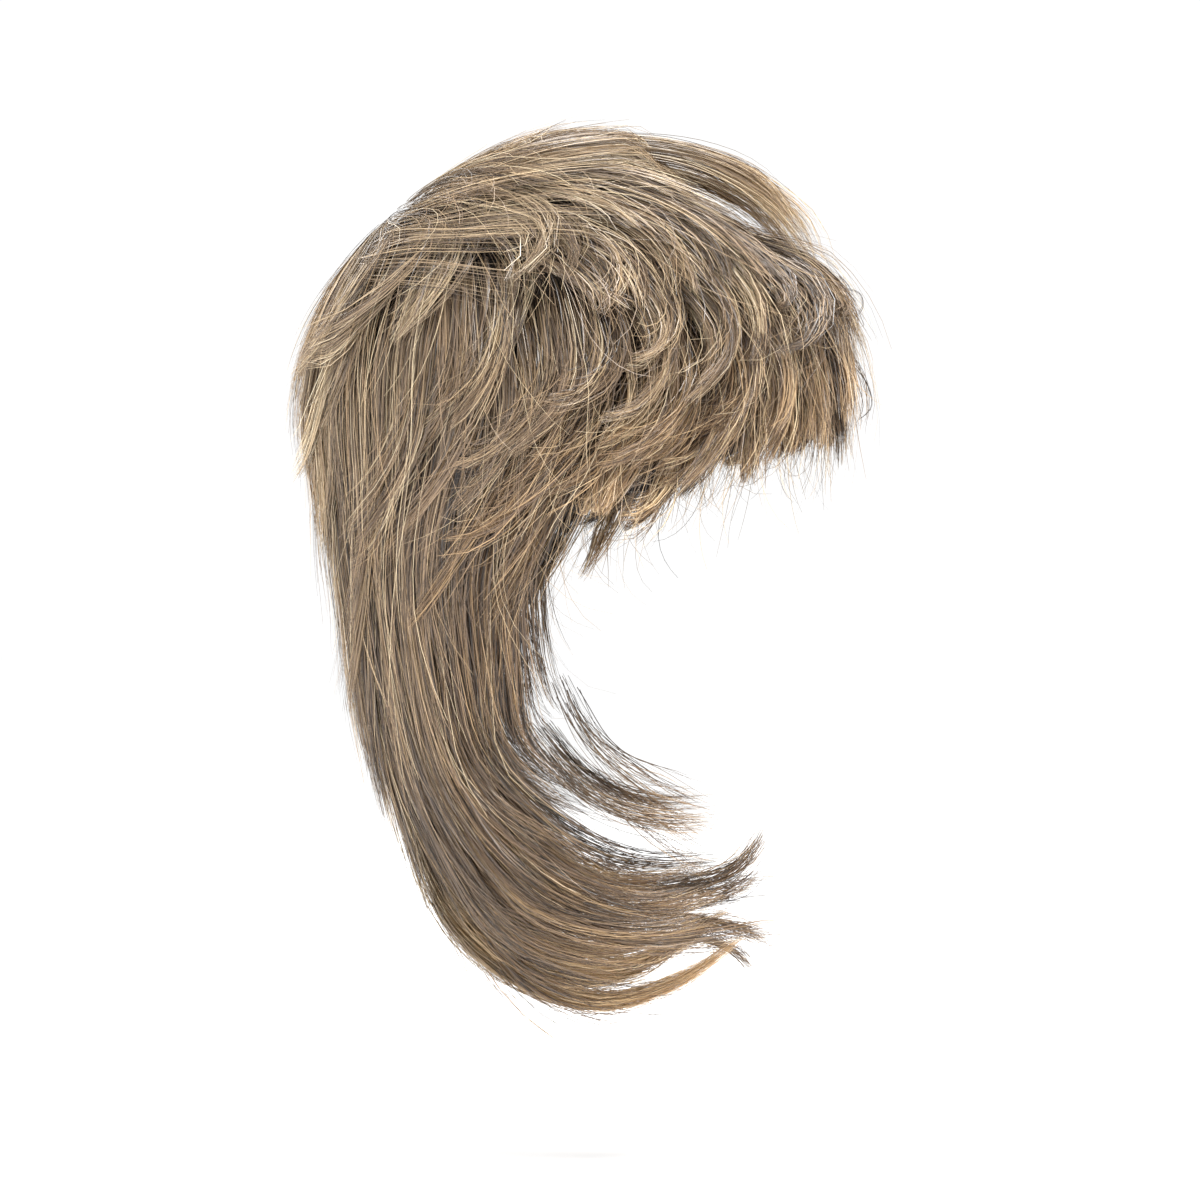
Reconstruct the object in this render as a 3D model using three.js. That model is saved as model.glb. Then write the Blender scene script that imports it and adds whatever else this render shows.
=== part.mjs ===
// Mullet wig: a net cap with a bound edge, and six rings of locks that lie over each other like roof tiles.
// Millimetres. +X is the face side, +Y is the wearer's left, +Z is up.
// The origin is the inside of the cap at its top, where the wig rests on the head.

import * as THREE from 'three';

// The head that the cap fits
const HEAD_HALF_LENGTH = 99;
const HEAD_HALF_WIDTH = 77;
const CROWN_HEIGHT = 95; // top of the cap above the widest level of the head
const TAIL_DROP = 251; // widest level of the head down to the lowest ends of the tail
const WHORL_TILT = 38.8; // degrees from straight up, towards the back

// Cap and its bound edge
const CAP_WALL = 1.5;
const BAND_WIDTH = 9;
const BAND_THICKNESS = 1.6;
const CLEARANCE = 0.3;

// Hair
const LOCK_WIDTH = 25;
const LOCK_THICKNESS = 3.5;
const LAYER_GAP = 1.7;
const TIP_THICKNESS = 0.8;
const PANEL_GAP = 2.4;
const CROWN_PUFF = 20; // how high the hair stands off the cap at the whorl
const FRONT_FULLNESS = 0.42; // how much thicker the layers are over the brow
const BACK_FLATNESS = 0.12; // how much thinner they are at the back
const TAIL_SPREAD = 0.8; // how much further apart the layers lie at the ends of the tail
const FRINGE_LENGTH = 95;
const SIDE_LENGTH = 85;
const TAIL_LENGTH = 280;
const TIP_REACH = 38; // most that a lock's point reaches past the dip beside it

// Shape of the locks, as shares
const VALLEY_RIDGE = 0.6; // thickness between two locks, of that at a lock's middle
const VALLEY_LENGTH = 0.72; // length between two locks, of the lock's
const LENGTH_SPREAD = 0.14; // how much locks of one ring differ in length
const TAPER_POWER = 2; // 1 thins a lock evenly from root to tip, more keeps it full for longer
const POINT_POWER = 5; // 1 spreads the reach of a lock's point over all rows, more keeps it to the last ones
const FULL_WIDTH_AT = 0.3; // how far past its roots a lock has its full width, of the way to the cap's edge
const TAIL_SPREAD_FROM = 0.4; // where the tail's layers start to spread, of TAIL_DROP
const BROW_DEPTH = 0.25; // over what depth the fullness of the brow fades, of TAIL_DROP

// How the layers lie over each other, in layers past a ring's own start
const RISE_START = 0.15; // where hair starts to rise over the next ring
const RISE_END = 0.65;
const LEVEL_OFF = 0.5; // how much hair still rises past the last ring

// How hair leaves the whorl, by the share of the way to the cap's edge
const STRAIGHT_SHARE = 0.06; // up to here it runs straight out
const FREE_SHARE = 0.85; // from here on it only has to keep AWAY_AT_EDGE
const AWAY_AT_EDGE = 0.15; // least share of the combed direction that points away from the whorl
const COMB_FOCUS = 1.7; // how much more the nearest rows of COMB count than the far ones

// Fineness of the facets
const ROW_STEP = 18;
const PACE = 2.2; // step with which a line of hair is followed over the form
const SLOPE_STEP = 0.5;
const RIM_STEP = 12; // degrees between two points of the cap's edge
const CAP_RINGS = 9;
const DIP_LIMIT = 2.5; // most that an under side is raised for its flat facets
const ROOT_DIP = 0.5; // share of that allowance at the roots
const TIGHT_BEND = 0.875; // radius of the form's tighter bends, of HEAD_HALF_WIDTH
const LATEST_RISE = 0.75; // hair that has not risen by this share of its length has even rows
const FEWEST_LOCKS = 3;
const FEWEST_ROWS = 5;
const HALVINGS = 40;
const SETTLE_PASSES = 4;

// Colours and finishes
const NET_COLOUR = 0x3a2e26;
const BAND_COLOUR = 0x2c231d;
const HAIR_COLOURS = [0xb5a283, 0xa89474, 0x9c8869, 0x8f7b5e, 0x7f6c52, 0x6f5e48];
const HAIR_ROUGHNESS = 0.55;
const CLOTH_ROUGHNESS = 0.9;

// Sections of the form that the hair lies on, below the widest level.
// depth is a share of TAIL_DROP, back and front of HEAD_HALF_LENGTH, width of HEAD_HALF_WIDTH.
const SECTIONS = [
  { depth: -0.06, back: 1.0, front: 1.0, width: 1.0 },
  { depth: 0.0, back: 1.0, front: 1.0, width: 1.0 },
  { depth: 0.13, back: 0.91, front: 0.97, width: 0.98 },
  { depth: 0.3, back: 0.83, front: 0.9, width: 0.93 },
  { depth: 0.47, back: 0.755, front: 0.87, width: 0.89 },
  { depth: 0.63, back: 0.61, front: 0.88, width: 0.89 },
  { depth: 0.8, back: 0.43, front: 0.92, width: 0.89 },
  { depth: 1.0, back: 0.2, front: 0.97, width: 0.9 },
];

// Edge of the cap: how far it lies from the whorl, in degrees, at each bearing from the face side.
const CAP_EDGE = [
  { bearing: 0, reach: 119 },
  { bearing: 30, reach: 119 },
  { bearing: 52, reach: 117 },
  { bearing: 70, reach: 113 },
  { bearing: 84, reach: 110 },
  { bearing: 98, reach: 100 },
  { bearing: 122, reach: 98 },
  { bearing: 150, reach: 98 },
  { bearing: 180, reach: 94 },
];

// Stretches of the bound edge, by the bearing from the face side, in multiples of RIM_STEP.
const BANDS = [
  { name: 'front_band', from: -72, to: 72 },
  { name: 'ear_band_left', from: 72, to: 120 },
  { name: 'nape_band', from: 120, to: 240 },
  { name: 'ear_band_right', from: 240, to: 288 },
];

// Rings of locks, from the whorl out. start is the share of the way from the whorl to the cap's edge.
// brow and temple are shares of FRINGE_LENGTH, ear of SIDE_LENGTH, and the last three of TAIL_LENGTH.
const RINGS = [
  { name: 'whorl', start: 0.03, brow: 0.76, temple: 0.78, ear: 0.85, behind: 0.28, corner: 0.26, nape: 0.26 },
  { name: 'crown', start: 0.2, brow: 1.0, temple: 0.95, ear: 1.0, behind: 0.38, corner: 0.42, nape: 0.42 },
  { name: 'upper', start: 0.37, brow: 1.0, temple: 0.98, ear: 1.08, behind: 0.54, corner: 0.68, nape: 0.68 },
  { name: 'middle', start: 0.54, brow: 0.95, temple: 0.93, ear: 1.04, behind: 0.64, corner: 0.92, nape: 0.74 },
  { name: 'lower', start: 0.71, brow: 0.8, temple: 0.8, ear: 0.92, behind: 0.66, corner: 1.03, nape: 0.74 },
  { name: 'edge', start: 0.88, brow: 0.56, temple: 0.58, ear: 0.7, behind: 0.56, corner: 0.84, nape: 0.6 },
];
const LENGTH_BEARINGS = { brow: 0, temple: 52, ear: 84, behind: 106, corner: 145, nape: 180 };

// Where one panel of locks ends and the next one starts, by the bearing from the face side.
const WHORL_PANELS = [
  { name: 'front', from: -100, to: 100 },
  { name: 'back', from: 100, to: 260 },
];
const CROWN_PANELS = [
  { name: 'front', from: -48, to: 48 },
  { name: 'left', from: 48, to: 118 },
  { name: 'back', from: 118, to: 242 },
  { name: 'right', from: 242, to: 312 },
];
const EDGE_PANELS = [
  { name: 'fringe', from: -44, to: 44 },
  { name: 'left', from: 44, to: 98 },
  { name: 'tail_left', from: 98, to: 150 },
  { name: 'tail_back', from: 150, to: 210 },
  { name: 'tail_right', from: 210, to: 262 },
  { name: 'right', from: 262, to: 316 },
];
const PANELS_OF_RING = [WHORL_PANELS, CROWN_PANELS, CROWN_PANELS, EDGE_PANELS, EDGE_PANELS, EDGE_PANELS];

// How the hair is combed. ahead is a share of HEAD_HALF_LENGTH, aside of HEAD_HALF_WIDTH and below of the
// whole drop from the top of the cap to the tail's lower ends. forward, out and down give the direction.
const COMB = [
  { place: 'front of the whorl', ahead: -0.42, aside: 0.0, below: 0.02, forward: 1.0, out: 0.0, down: 0.0 },
  { place: 'side of the whorl', ahead: -0.55, aside: 0.45, below: 0.09, forward: 0.35, out: 0.7, down: 0.5 },
  { place: 'top', ahead: 0.1, aside: 0.0, below: 0.0, forward: 1.0, out: 0.0, down: 0.0 },
  { place: 'top side', ahead: 0.0, aside: 0.75, below: 0.09, forward: 0.85, out: 0.1, down: 0.6 },
  { place: 'front top', ahead: 0.65, aside: 0.0, below: 0.06, forward: 1.0, out: 0.0, down: 0.7 },
  { place: 'brow', ahead: 0.98, aside: 0.0, below: 0.22, forward: 0.0, out: 0.0, down: 1.0 },
  { place: 'brow corner', ahead: 0.8, aside: 0.6, below: 0.22, forward: 0.25, out: 0.0, down: 1.0 },
  { place: 'front side', ahead: 0.55, aside: 0.7, below: 0.12, forward: 0.55, out: 0.0, down: 0.85 },
  { place: 'temple', ahead: 0.6, aside: 0.8, below: 0.3, forward: -0.1, out: 0.0, down: 1.0 },
  { place: 'high side', ahead: -0.1, aside: 0.95, below: 0.19, forward: 0.3, out: 0.0, down: 0.95 },
  { place: 'over the ear', ahead: 0.05, aside: 1.0, below: 0.33, forward: -0.3, out: 0.0, down: 1.0 },
  { place: 'high back side', ahead: -0.65, aside: 0.7, below: 0.13, forward: -0.15, out: 0.2, down: 1.0 },
  { place: 'back top', ahead: -0.85, aside: 0.0, below: 0.07, forward: -0.6, out: 0.0, down: 0.9 },
  { place: 'back', ahead: -1.0, aside: 0.0, below: 0.28, forward: 0.0, out: 0.0, down: 1.0 },
  { place: 'behind the ear', ahead: -0.4, aside: 0.9, below: 0.4, forward: -0.22, out: 0.0, down: 1.0 },
  { place: 'neck side', ahead: -0.3, aside: 0.88, below: 0.54, forward: 0.02, out: 0.0, down: 1.0 },
  { place: 'neck back', ahead: -0.8, aside: 0.25, below: 0.6, forward: 0.1, out: 0.05, down: 1.0 },
  { place: 'tail side', ahead: -0.05, aside: 0.9, below: 0.7, forward: 0.85, out: 0.0, down: 0.6 },
  { place: 'tail back', ahead: -0.5, aside: 0.5, below: 0.8, forward: 0.55, out: 0.2, down: 0.9 },
  { place: 'tail low back', ahead: -0.4, aside: 0.1, below: 0.88, forward: 0.5, out: 0.3, down: 0.8 },
  { place: 'tail low side', ahead: -0.1, aside: 0.9, below: 0.92, forward: 1.0, out: 0.0, down: 0.3 },
  { place: 'tail end', ahead: 0.5, aside: 0.8, below: 0.92, forward: 1.0, out: -0.1, down: -0.15 },
];

const DEGREE = Math.PI / 180;
const MIDDLE = new THREE.Vector3(0, 0, -CROWN_HEIGHT);
const LIFT_OF_ROOTS = Math.max(CAP_WALL, BAND_THICKNESS) + CLEARANCE;
const LAYER_PITCH = LOCK_THICKNESS + LAYER_GAP;
const WHORL = new THREE.Vector3(-Math.sin(WHORL_TILT * DEGREE), 0, Math.cos(WHORL_TILT * DEGREE));
const WHORL_FORWARD = new THREE.Vector3(Math.cos(WHORL_TILT * DEGREE), 0, Math.sin(WHORL_TILT * DEGREE));

// A smooth curve through one column of a table, read at any place along it.
function curveThrough(rows, alongKey, valueKey) {
  const along = new Float32Array(rows.map((row) => row[alongKey]));
  const values = new Float32Array(rows.map((row) => row[valueKey]));
  const curve = new THREE.CubicInterpolant(along, values, 1);
  return (at) => curve.evaluate(THREE.MathUtils.clamp(at, along[0], along[along.length - 1]))[0];
}

const backAt = curveThrough(SECTIONS, 'depth', 'back');
const frontAt = curveThrough(SECTIONS, 'depth', 'front');
const widthAt = curveThrough(SECTIONS, 'depth', 'width');
const capReachAt = curveThrough(CAP_EDGE, 'bearing', 'reach');

// Less than 0 inside the form that the hair lies on, 0 on it and more outside.
function formValue(x, y, z) {
  const drop = -(z + CROWN_HEIGHT);
  if (drop <= 0) {
    return Math.hypot(x / HEAD_HALF_LENGTH, y / HEAD_HALF_WIDTH, drop / CROWN_HEIGHT) - 1;
  }
  const depth = drop / TAIL_DROP;
  const back = -backAt(depth) * HEAD_HALF_LENGTH;
  const front = frontAt(depth) * HEAD_HALF_LENGTH;
  const middle = (front + back) / 2;
  return Math.hypot((x - middle) / ((front - back) / 2), y / (widthAt(depth) * HEAD_HALF_WIDTH)) - 1;
}

function formSlope(p) {
  const h = SLOPE_STEP;
  return new THREE.Vector3(
    formValue(p.x + h, p.y, p.z) - formValue(p.x - h, p.y, p.z),
    formValue(p.x, p.y + h, p.z) - formValue(p.x, p.y - h, p.z),
    formValue(p.x, p.y, p.z + h) - formValue(p.x, p.y, p.z - h),
  ).divideScalar(2 * h);
}

// Moves a point straight onto the form.
function settle(p) {
  for (let pass = 0; pass < SETTLE_PASSES; pass += 1) {
    const slope = formSlope(p);
    p.addScaledVector(slope, -formValue(p.x, p.y, p.z) / slope.lengthSq());
  }
  return p;
}

// The point of the form at a bearing and a reach from the whorl, both in degrees.
function formPoint(bearing, reach) {
  const round = new THREE.Vector3(0, Math.sin(bearing * DEGREE), 0);
  round.addScaledVector(WHORL_FORWARD, Math.cos(bearing * DEGREE));
  const ray = WHORL.clone().multiplyScalar(Math.cos(reach * DEGREE));
  ray.addScaledVector(round, Math.sin(reach * DEGREE));
  ray.multiply(new THREE.Vector3(HEAD_HALF_LENGTH, HEAD_HALF_WIDTH, CROWN_HEIGHT));
  let near = 0.5;
  let far = 2;
  for (let pass = 0; pass < HALVINGS; pass += 1) {
    const half = (near + far) / 2;
    const p = MIDDLE.clone().addScaledVector(ray, half);
    if (formValue(p.x, p.y, p.z) < 0) {
      near = half;
    } else {
      far = half;
    }
  }
  return MIDDLE.clone().addScaledVector(ray, (near + far) / 2);
}

// How far a point is on the way from the whorl, 0, to the edge of the cap, 1.
function shareOfWay(p) {
  const ray = p.clone().sub(MIDDLE);
  ray.divide(new THREE.Vector3(HEAD_HALF_LENGTH, HEAD_HALF_WIDTH, CROWN_HEIGHT)).normalize();
  const bearing = Math.abs(Math.atan2(ray.y, ray.dot(WHORL_FORWARD))) / DEGREE;
  const reach = Math.acos(THREE.MathUtils.clamp(ray.dot(WHORL), -1, 1)) / DEGREE;
  return reach / capReachAt(bearing);
}

// The number of ring starts that lie between the whorl and a point, with its fraction.
// Past the last ring it levels off.
function layerAt(share) {
  const last = RINGS.length - 1;
  for (let ring = 0; ring < last; ring += 1) {
    const next = RINGS[ring + 1].start;
    if (share < next) {
      return ring + (share - RINGS[ring].start) / (next - RINGS[ring].start);
    }
  }
  const spacing = RINGS[last].start - RINGS[last - 1].start;
  return last + LEVEL_OFF * (1 - Math.exp(-(share - RINGS[last].start) / (spacing * LEVEL_OFF)));
}

// Layers lie thicker over the brow, thinner at the back, and spread apart towards the ends of the tail.
function fullnessAt(p) {
  const ahead = p.x / HEAD_HALF_LENGTH;
  const depth = (-CROWN_HEIGHT - p.z) / TAIL_DROP;
  const tail = 1 + TAIL_SPREAD * THREE.MathUtils.smoothstep(depth, TAIL_SPREAD_FROM, 1);
  if (ahead < 0) {
    return tail * (1 - BACK_FLATNESS * ahead * ahead);
  }
  return tail * (1 + FRONT_FULLNESS * ahead * ahead * THREE.MathUtils.clamp(1 - depth / BROW_DEPTH, 0, 1));
}

// The direction in which the hair is combed at a point of the form.
function combedAt(p, normal) {
  const way = new THREE.Vector3();
  for (const row of COMB) {
    for (const hand of row.aside > 0 ? [-1, 1] : [1]) {
      const place = new THREE.Vector3(
        row.ahead * HEAD_HALF_LENGTH,
        row.aside * HEAD_HALF_WIDTH * hand,
        -row.below * (CROWN_HEIGHT + TAIL_DROP),
      );
      const near = 1 / (p.distanceToSquared(place) + HEAD_HALF_LENGTH) ** COMB_FOCUS;
      way.addScaledVector(new THREE.Vector3(row.forward, row.out * hand, -row.down).normalize(), near);
    }
  }
  way.addScaledVector(normal, -way.dot(normal)).normalize();
  return keptAwayFromWhorl(way, p, normal);
}

// The direction over the form that leads straight away from the whorl.
function awayFromWhorl(p, normal) {
  const top = formPoint(0, 0);
  const away = p.clone().sub(top);
  return away.addScaledVector(normal, -away.dot(normal)).normalize();
}

// Over the cap, hair never turns back past its own root, and near the whorl it runs straight out.
function keptAwayFromWhorl(way, p, normal) {
  const share = shareOfWay(p);
  if (share > 1) {
    return way;
  }
  const leastAway = 1 - (1 - AWAY_AT_EDGE) * THREE.MathUtils.smoothstep(share, STRAIGHT_SHARE, FREE_SHARE);
  const away = awayFromWhorl(p, normal);
  const along = way.dot(away);
  if (along >= leastAway) {
    return way;
  }
  way.addScaledVector(away, -along).normalize().multiplyScalar(Math.sqrt(1 - leastAway * leastAway));
  return way.addScaledVector(away, leastAway);
}

// One line of hair over the form, from a root point on, with what a panel needs at each row.
// Its first rows lie where the hair has room to rise over the next ring. The others follow the length that
// all lines of the panel share, and what a lock's point reaches beyond that comes in the last rows.
function hairLine(bearing, order, { length, shared }, rows) {
  const ring = RINGS[order];
  const p = formPoint(bearing, ring.start * capReachAt(Math.abs(wrapped(bearing))));
  const walk = [];
  const paces = Math.ceil(length / PACE);
  for (let step = 0; step <= paces; step += 1) {
    const normal = formSlope(p).normalize();
    const way = combedAt(p, normal);
    const above = layerAt(shareOfWay(p)) - order;
    walk.push({ point: p.clone(), normal, side: new THREE.Vector3().crossVectors(normal, way), above });
    p.addScaledVector(way, length / paces);
    settle(p);
  }
  const pace = length / paces;
  const even = Math.round(shared / pace / (rows - 1));
  const reached = (above) => walk.findIndex((spot) => spot.above >= above);
  let foot = reached(RISE_START);
  let risen = reached(RISE_END);
  if (foot < 1 || risen <= foot || risen > LATEST_RISE * paces) {
    foot = even;
    risen = 2 * even;
  }
  const picked = [0, foot, risen];
  for (let row = 3; row < rows; row += 1) {
    const share = (row - 2) / (rows - 3);
    const reach = (length - shared) * share ** POINT_POWER;
    picked.push(Math.round(risen + (shared / pace - risen) * share + reach / pace));
  }
  return picked.map((index) => walk[index]);
}

function wrapped(bearing) {
  return bearing > 180 ? bearing - 360 : bearing;
}

// Length of the hair of one ring at a bearing.
function lengthAt(ring, bearing) {
  const whole = {
    brow: FRINGE_LENGTH,
    temple: FRINGE_LENGTH,
    ear: SIDE_LENGTH,
    behind: TAIL_LENGTH,
    corner: TAIL_LENGTH,
    nape: TAIL_LENGTH,
  };
  const stations = Object.keys(LENGTH_BEARINGS);
  const round = Math.abs(wrapped(bearing));
  for (let i = 1; i < stations.length; i += 1) {
    const near = LENGTH_BEARINGS[stations[i - 1]];
    const far = LENGTH_BEARINGS[stations[i]];
    if (round <= far) {
      const share = THREE.MathUtils.smoothstep(round, near, far);
      const from = ring[stations[i - 1]] * whole[stations[i - 1]];
      const to = ring[stations[i]] * whole[stations[i]];
      return THREE.MathUtils.lerp(from, to, share);
    }
  }
  return ring.nape * TAIL_LENGTH;
}

// Where a ring's hair lies above the form: its under side and its upper side at one row.
function liftsAt(spot, order, ridge, share) {
  const way = shareOfWay(spot.point);
  const above = Math.max(0, spot.above);
  const full = fullnessAt(spot.point);
  const puff = CROWN_PUFF * Math.max(0, 1 - way);
  const rise = THREE.MathUtils.smoothstep(above, RISE_START, RISE_END);
  const lying = full * (puff + LAYER_PITCH * above);
  const taper = 1 - (1 - TIP_THICKNESS / LOCK_THICKNESS) * share ** TAPER_POWER;
  const thickness = Math.max(TIP_THICKNESS, full * LOCK_THICKNESS * ridge * taper);
  return { under: LIFT_OF_ROOTS + rise * lying, upper: LIFT_OF_ROOTS + lying + thickness };
}

// A fixed spread of values between -1 and 1 that looks unordered.
function spread(index) {
  const value = Math.sin(index * 12.9898 + 4.1414) * 43758.5453;
  return 2 * (value - Math.floor(value)) - 1;
}

// Length along the form of a stretch of one ring, a share of the way out from the whorl.
function arcOfRing(share, from, to) {
  const steps = 12;
  const points = [];
  for (let step = 0; step <= steps; step += 1) {
    const bearing = from + ((to - from) * step) / steps;
    points.push(formPoint(bearing, share * capReachAt(Math.abs(wrapped(bearing)))));
  }
  return points.slice(1).reduce((arc, point, index) => arc + point.distanceTo(points[index]), 0);
}

// The lines of one panel: a valley, a lock's middle, a valley and so on.
function panelLines(order, from, to) {
  const ring = RINGS[order];
  const spreadOut = Math.min(ring.start + FULL_WIDTH_AT, 1);
  const locks = Math.max(FEWEST_LOCKS, Math.round(arcOfRing(spreadOut, from, to) / LOCK_WIDTH));
  const longest = Math.max(lengthAt(ring, from), lengthAt(ring, (from + to) / 2), lengthAt(ring, to));
  const rows = Math.max(FEWEST_ROWS, Math.round(longest / ROW_STEP) + 1);
  const lines = [];
  for (let i = 0; i <= 2 * locks; i += 1) {
    const bearing = from + ((to - from) * i) / (2 * locks);
    const whole = lengthAt(ring, bearing);
    const valley = i % 2 === 0;
    const uneven = 1 + LENGTH_SPREAD * spread(i * 7 + order * 31 + from);
    const shared = Math.max(whole * VALLEY_LENGTH, whole - TIP_REACH);
    const line = hairLine(bearing, order, { length: valley ? shared : whole * uneven, shared }, rows);
    const ends = Number(i === 0) - Number(i === 2 * locks);
    lines.push({ line, ridge: valley ? VALLEY_RIDGE : 1, inward: (ends * PANEL_GAP) / 2 });
  }
  return lines;
}

// A closed shell over a grid of lines: upper side, under side and the walls round them.
// Each cell is split along its shorter diagonal, so that its two facets lie close to the curved layer.
function shellGeometry(upper, under) {
  const columns = upper.length;
  const rows = upper[0].length;
  const count = columns * rows;
  const positions = [];
  for (const grid of [upper, under]) {
    for (const column of grid) {
      for (const p of column) {
        positions.push(p.x, p.y, p.z);
      }
    }
  }
  const faces = [];
  const quad = (a, b, c, d) => faces.push(a, b, c, a, c, d);
  for (let i = 0; i < columns - 1; i += 1) {
    for (let j = 0; j < rows - 1; j += 1) {
      const a = i * rows + j;
      const across = upper[i][j].distanceTo(upper[i + 1][j + 1]);
      if (across < upper[i][j + 1].distanceTo(upper[i + 1][j])) {
        quad(a, a + 1, a + rows + 1, a + rows);
        quad(count + a + rows + 1, count + a + 1, count + a, count + a + rows);
      } else {
        quad(a + 1, a + rows + 1, a + rows, a);
        quad(count + a + rows, count + a + rows + 1, count + a + 1, count + a);
      }
    }
    const first = i * rows;
    const last = first + rows - 1;
    quad(first, first + rows, count + first + rows, count + first);
    quad(last, count + last, count + last + rows, last + rows);
  }
  const end = (columns - 1) * rows;
  for (let j = 0; j < rows - 1; j += 1) {
    quad(j, count + j, count + j + 1, j + 1);
    quad(end + j, end + j + 1, count + end + j + 1, count + end + j);
  }
  const geometry = new THREE.BufferGeometry();
  geometry.setAttribute('position', new THREE.Float32BufferAttribute(positions, 3));
  geometry.setIndex(faces);
  geometry.computeVertexNormals();
  return geometry;
}

// How far the flat facets round one spot may dip below the curved layer that they stand for.
// The roots are sewn down, so they take only a share of it.
function facetDip(lines, column, row) {
  const spot = lines[column].line[row].point;
  const own = lines[column].line;
  const near = [lines[column - 1]?.line[row], lines[column + 1]?.line[row], own[row - 1], own[row + 1]];
  const widest = Math.max(...near.filter(Boolean).map((next) => next.point.distanceTo(spot)));
  const dip = Math.min(widest ** 2 / (8 * TIGHT_BEND * HEAD_HALF_WIDTH), DIP_LIMIT);
  return row === 0 ? ROOT_DIP * dip : dip;
}

function lockPanel(order, panel) {
  const lines = panelLines(order, panel.from, panel.to);
  const upper = [];
  const under = [];
  lines.forEach(({ line, ridge, inward }, column) => {
    const top = [];
    const bottom = [];
    line.forEach((spot, row) => {
      const lifts = liftsAt(spot, order, ridge, row / (line.length - 1));
      const low = lifts.under + facetDip(lines, column, row);
      const high = Math.max(lifts.upper, low + TIP_THICKNESS);
      const foot = spot.point.clone().addScaledVector(spot.side, inward);
      top.push(foot.clone().addScaledVector(spot.normal, high));
      bottom.push(foot.clone().addScaledVector(spot.normal, low));
    });
    upper.push(top);
    under.push(bottom);
  });
  return shellGeometry(upper, under);
}

// Moves a point over the form, away from the whorl.
function slidAway(point, distance) {
  const paces = Math.max(1, Math.ceil(distance / PACE));
  const p = point.clone();
  for (let step = 0; step < paces; step += 1) {
    p.addScaledVector(awayFromWhorl(p, formSlope(p).normalize()), distance / paces);
    settle(p);
  }
  return p;
}

function lifted(p, lift) {
  return p.clone().addScaledVector(formSlope(p).normalize(), lift);
}

function rimPoint(bearing) {
  return formPoint(bearing, capReachAt(Math.abs(wrapped(bearing))));
}

// The cap: a dome from its pole at the whorl to its edge, open below.
function capGeometry() {
  const bearings = 360 / RIM_STEP;
  const positions = [];
  for (const lift of [CAP_WALL, 0]) {
    const pole = lifted(formPoint(0, 0), lift);
    positions.push(pole.x, pole.y, pole.z);
    for (let ring = 1; ring <= CAP_RINGS; ring += 1) {
      for (let i = 0; i < bearings; i += 1) {
        const bearing = i * RIM_STEP;
        const reach = (capReachAt(Math.abs(wrapped(bearing))) * ring) / CAP_RINGS;
        const p = lifted(formPoint(bearing, reach), lift);
        positions.push(p.x, p.y, p.z);
      }
    }
  }
  const inner = 1 + CAP_RINGS * bearings;
  const faces = [];
  const spot = (ring, i) => 1 + (ring - 1) * bearings + (i % bearings);
  for (let i = 0; i < bearings; i += 1) {
    faces.push(0, spot(1, i), spot(1, i + 1));
    faces.push(inner, inner + spot(1, i + 1), inner + spot(1, i));
    for (let ring = 1; ring < CAP_RINGS; ring += 1) {
      const [a, b, c, d] = [spot(ring, i), spot(ring + 1, i), spot(ring + 1, i + 1), spot(ring, i + 1)];
      faces.push(a, b, c, a, c, d);
      faces.push(inner + a, inner + c, inner + b, inner + a, inner + d, inner + c);
    }
    const [near, next] = [spot(CAP_RINGS, i), spot(CAP_RINGS, i + 1)];
    faces.push(near, inner + near, inner + next, near, inner + next, next);
  }
  const geometry = new THREE.BufferGeometry();
  geometry.setAttribute('position', new THREE.Float32BufferAttribute(positions, 3));
  geometry.setIndex(faces);
  geometry.computeVertexNormals();
  return geometry;
}

// A stretch of the bound edge, which lies just outside the edge of the cap.
function bandGeometry(from, to) {
  const rims = [];
  for (let bearing = from; bearing <= to; bearing += RIM_STEP) {
    rims.push([slidAway(rimPoint(bearing), CLEARANCE), slidAway(rimPoint(bearing), CLEARANCE + BAND_WIDTH)]);
  }
  const last = rims.length - 1;
  for (const [end, next] of [[0, 1], [last, last - 1]]) {
    rims[end] = rims[end].map((p, side) => {
      const inward = rims[next][side].clone().sub(p).normalize();
      return p.clone().addScaledVector(inward, CLEARANCE / 2);
    });
  }
  const upper = rims.map((pair) => pair.map((p) => lifted(p, BAND_THICKNESS)));
  const under = rims.map((pair) => pair.map((p) => lifted(p, 0)));
  return shellGeometry(upper, under);
}

const group = new THREE.Group();

function addPiece(name, geometry, colour, roughness) {
  const material = new THREE.MeshStandardMaterial({ color: colour, roughness, metalness: 0 });
  const mesh = new THREE.Mesh(geometry, material);
  mesh.name = name;
  group.add(mesh);
}

addPiece('cap_crown', capGeometry(), NET_COLOUR, CLOTH_ROUGHNESS);
for (const band of BANDS) {
  addPiece(band.name, bandGeometry(band.from, band.to), BAND_COLOUR, CLOTH_ROUGHNESS);
}

RINGS.forEach((ring, order) => {
  for (const panel of PANELS_OF_RING[order]) {
    const name = `${ring.name}_locks_${panel.name}`;
    addPiece(name, lockPanel(order, panel), HAIR_COLOURS[order], HAIR_ROUGHNESS);
  }
});

export default group;
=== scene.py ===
"""A layered mullet wig, dressed strand by strand round its packed cap and locks.

Everything is in metres. +X is the face side, +Y is the wearer's left and +Z is up. The origin is the
inside of the cap at its top.
"""

from __future__ import annotations

import logging
import math
from dataclasses import dataclass
from enum import Enum
from functools import cached_property

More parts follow.
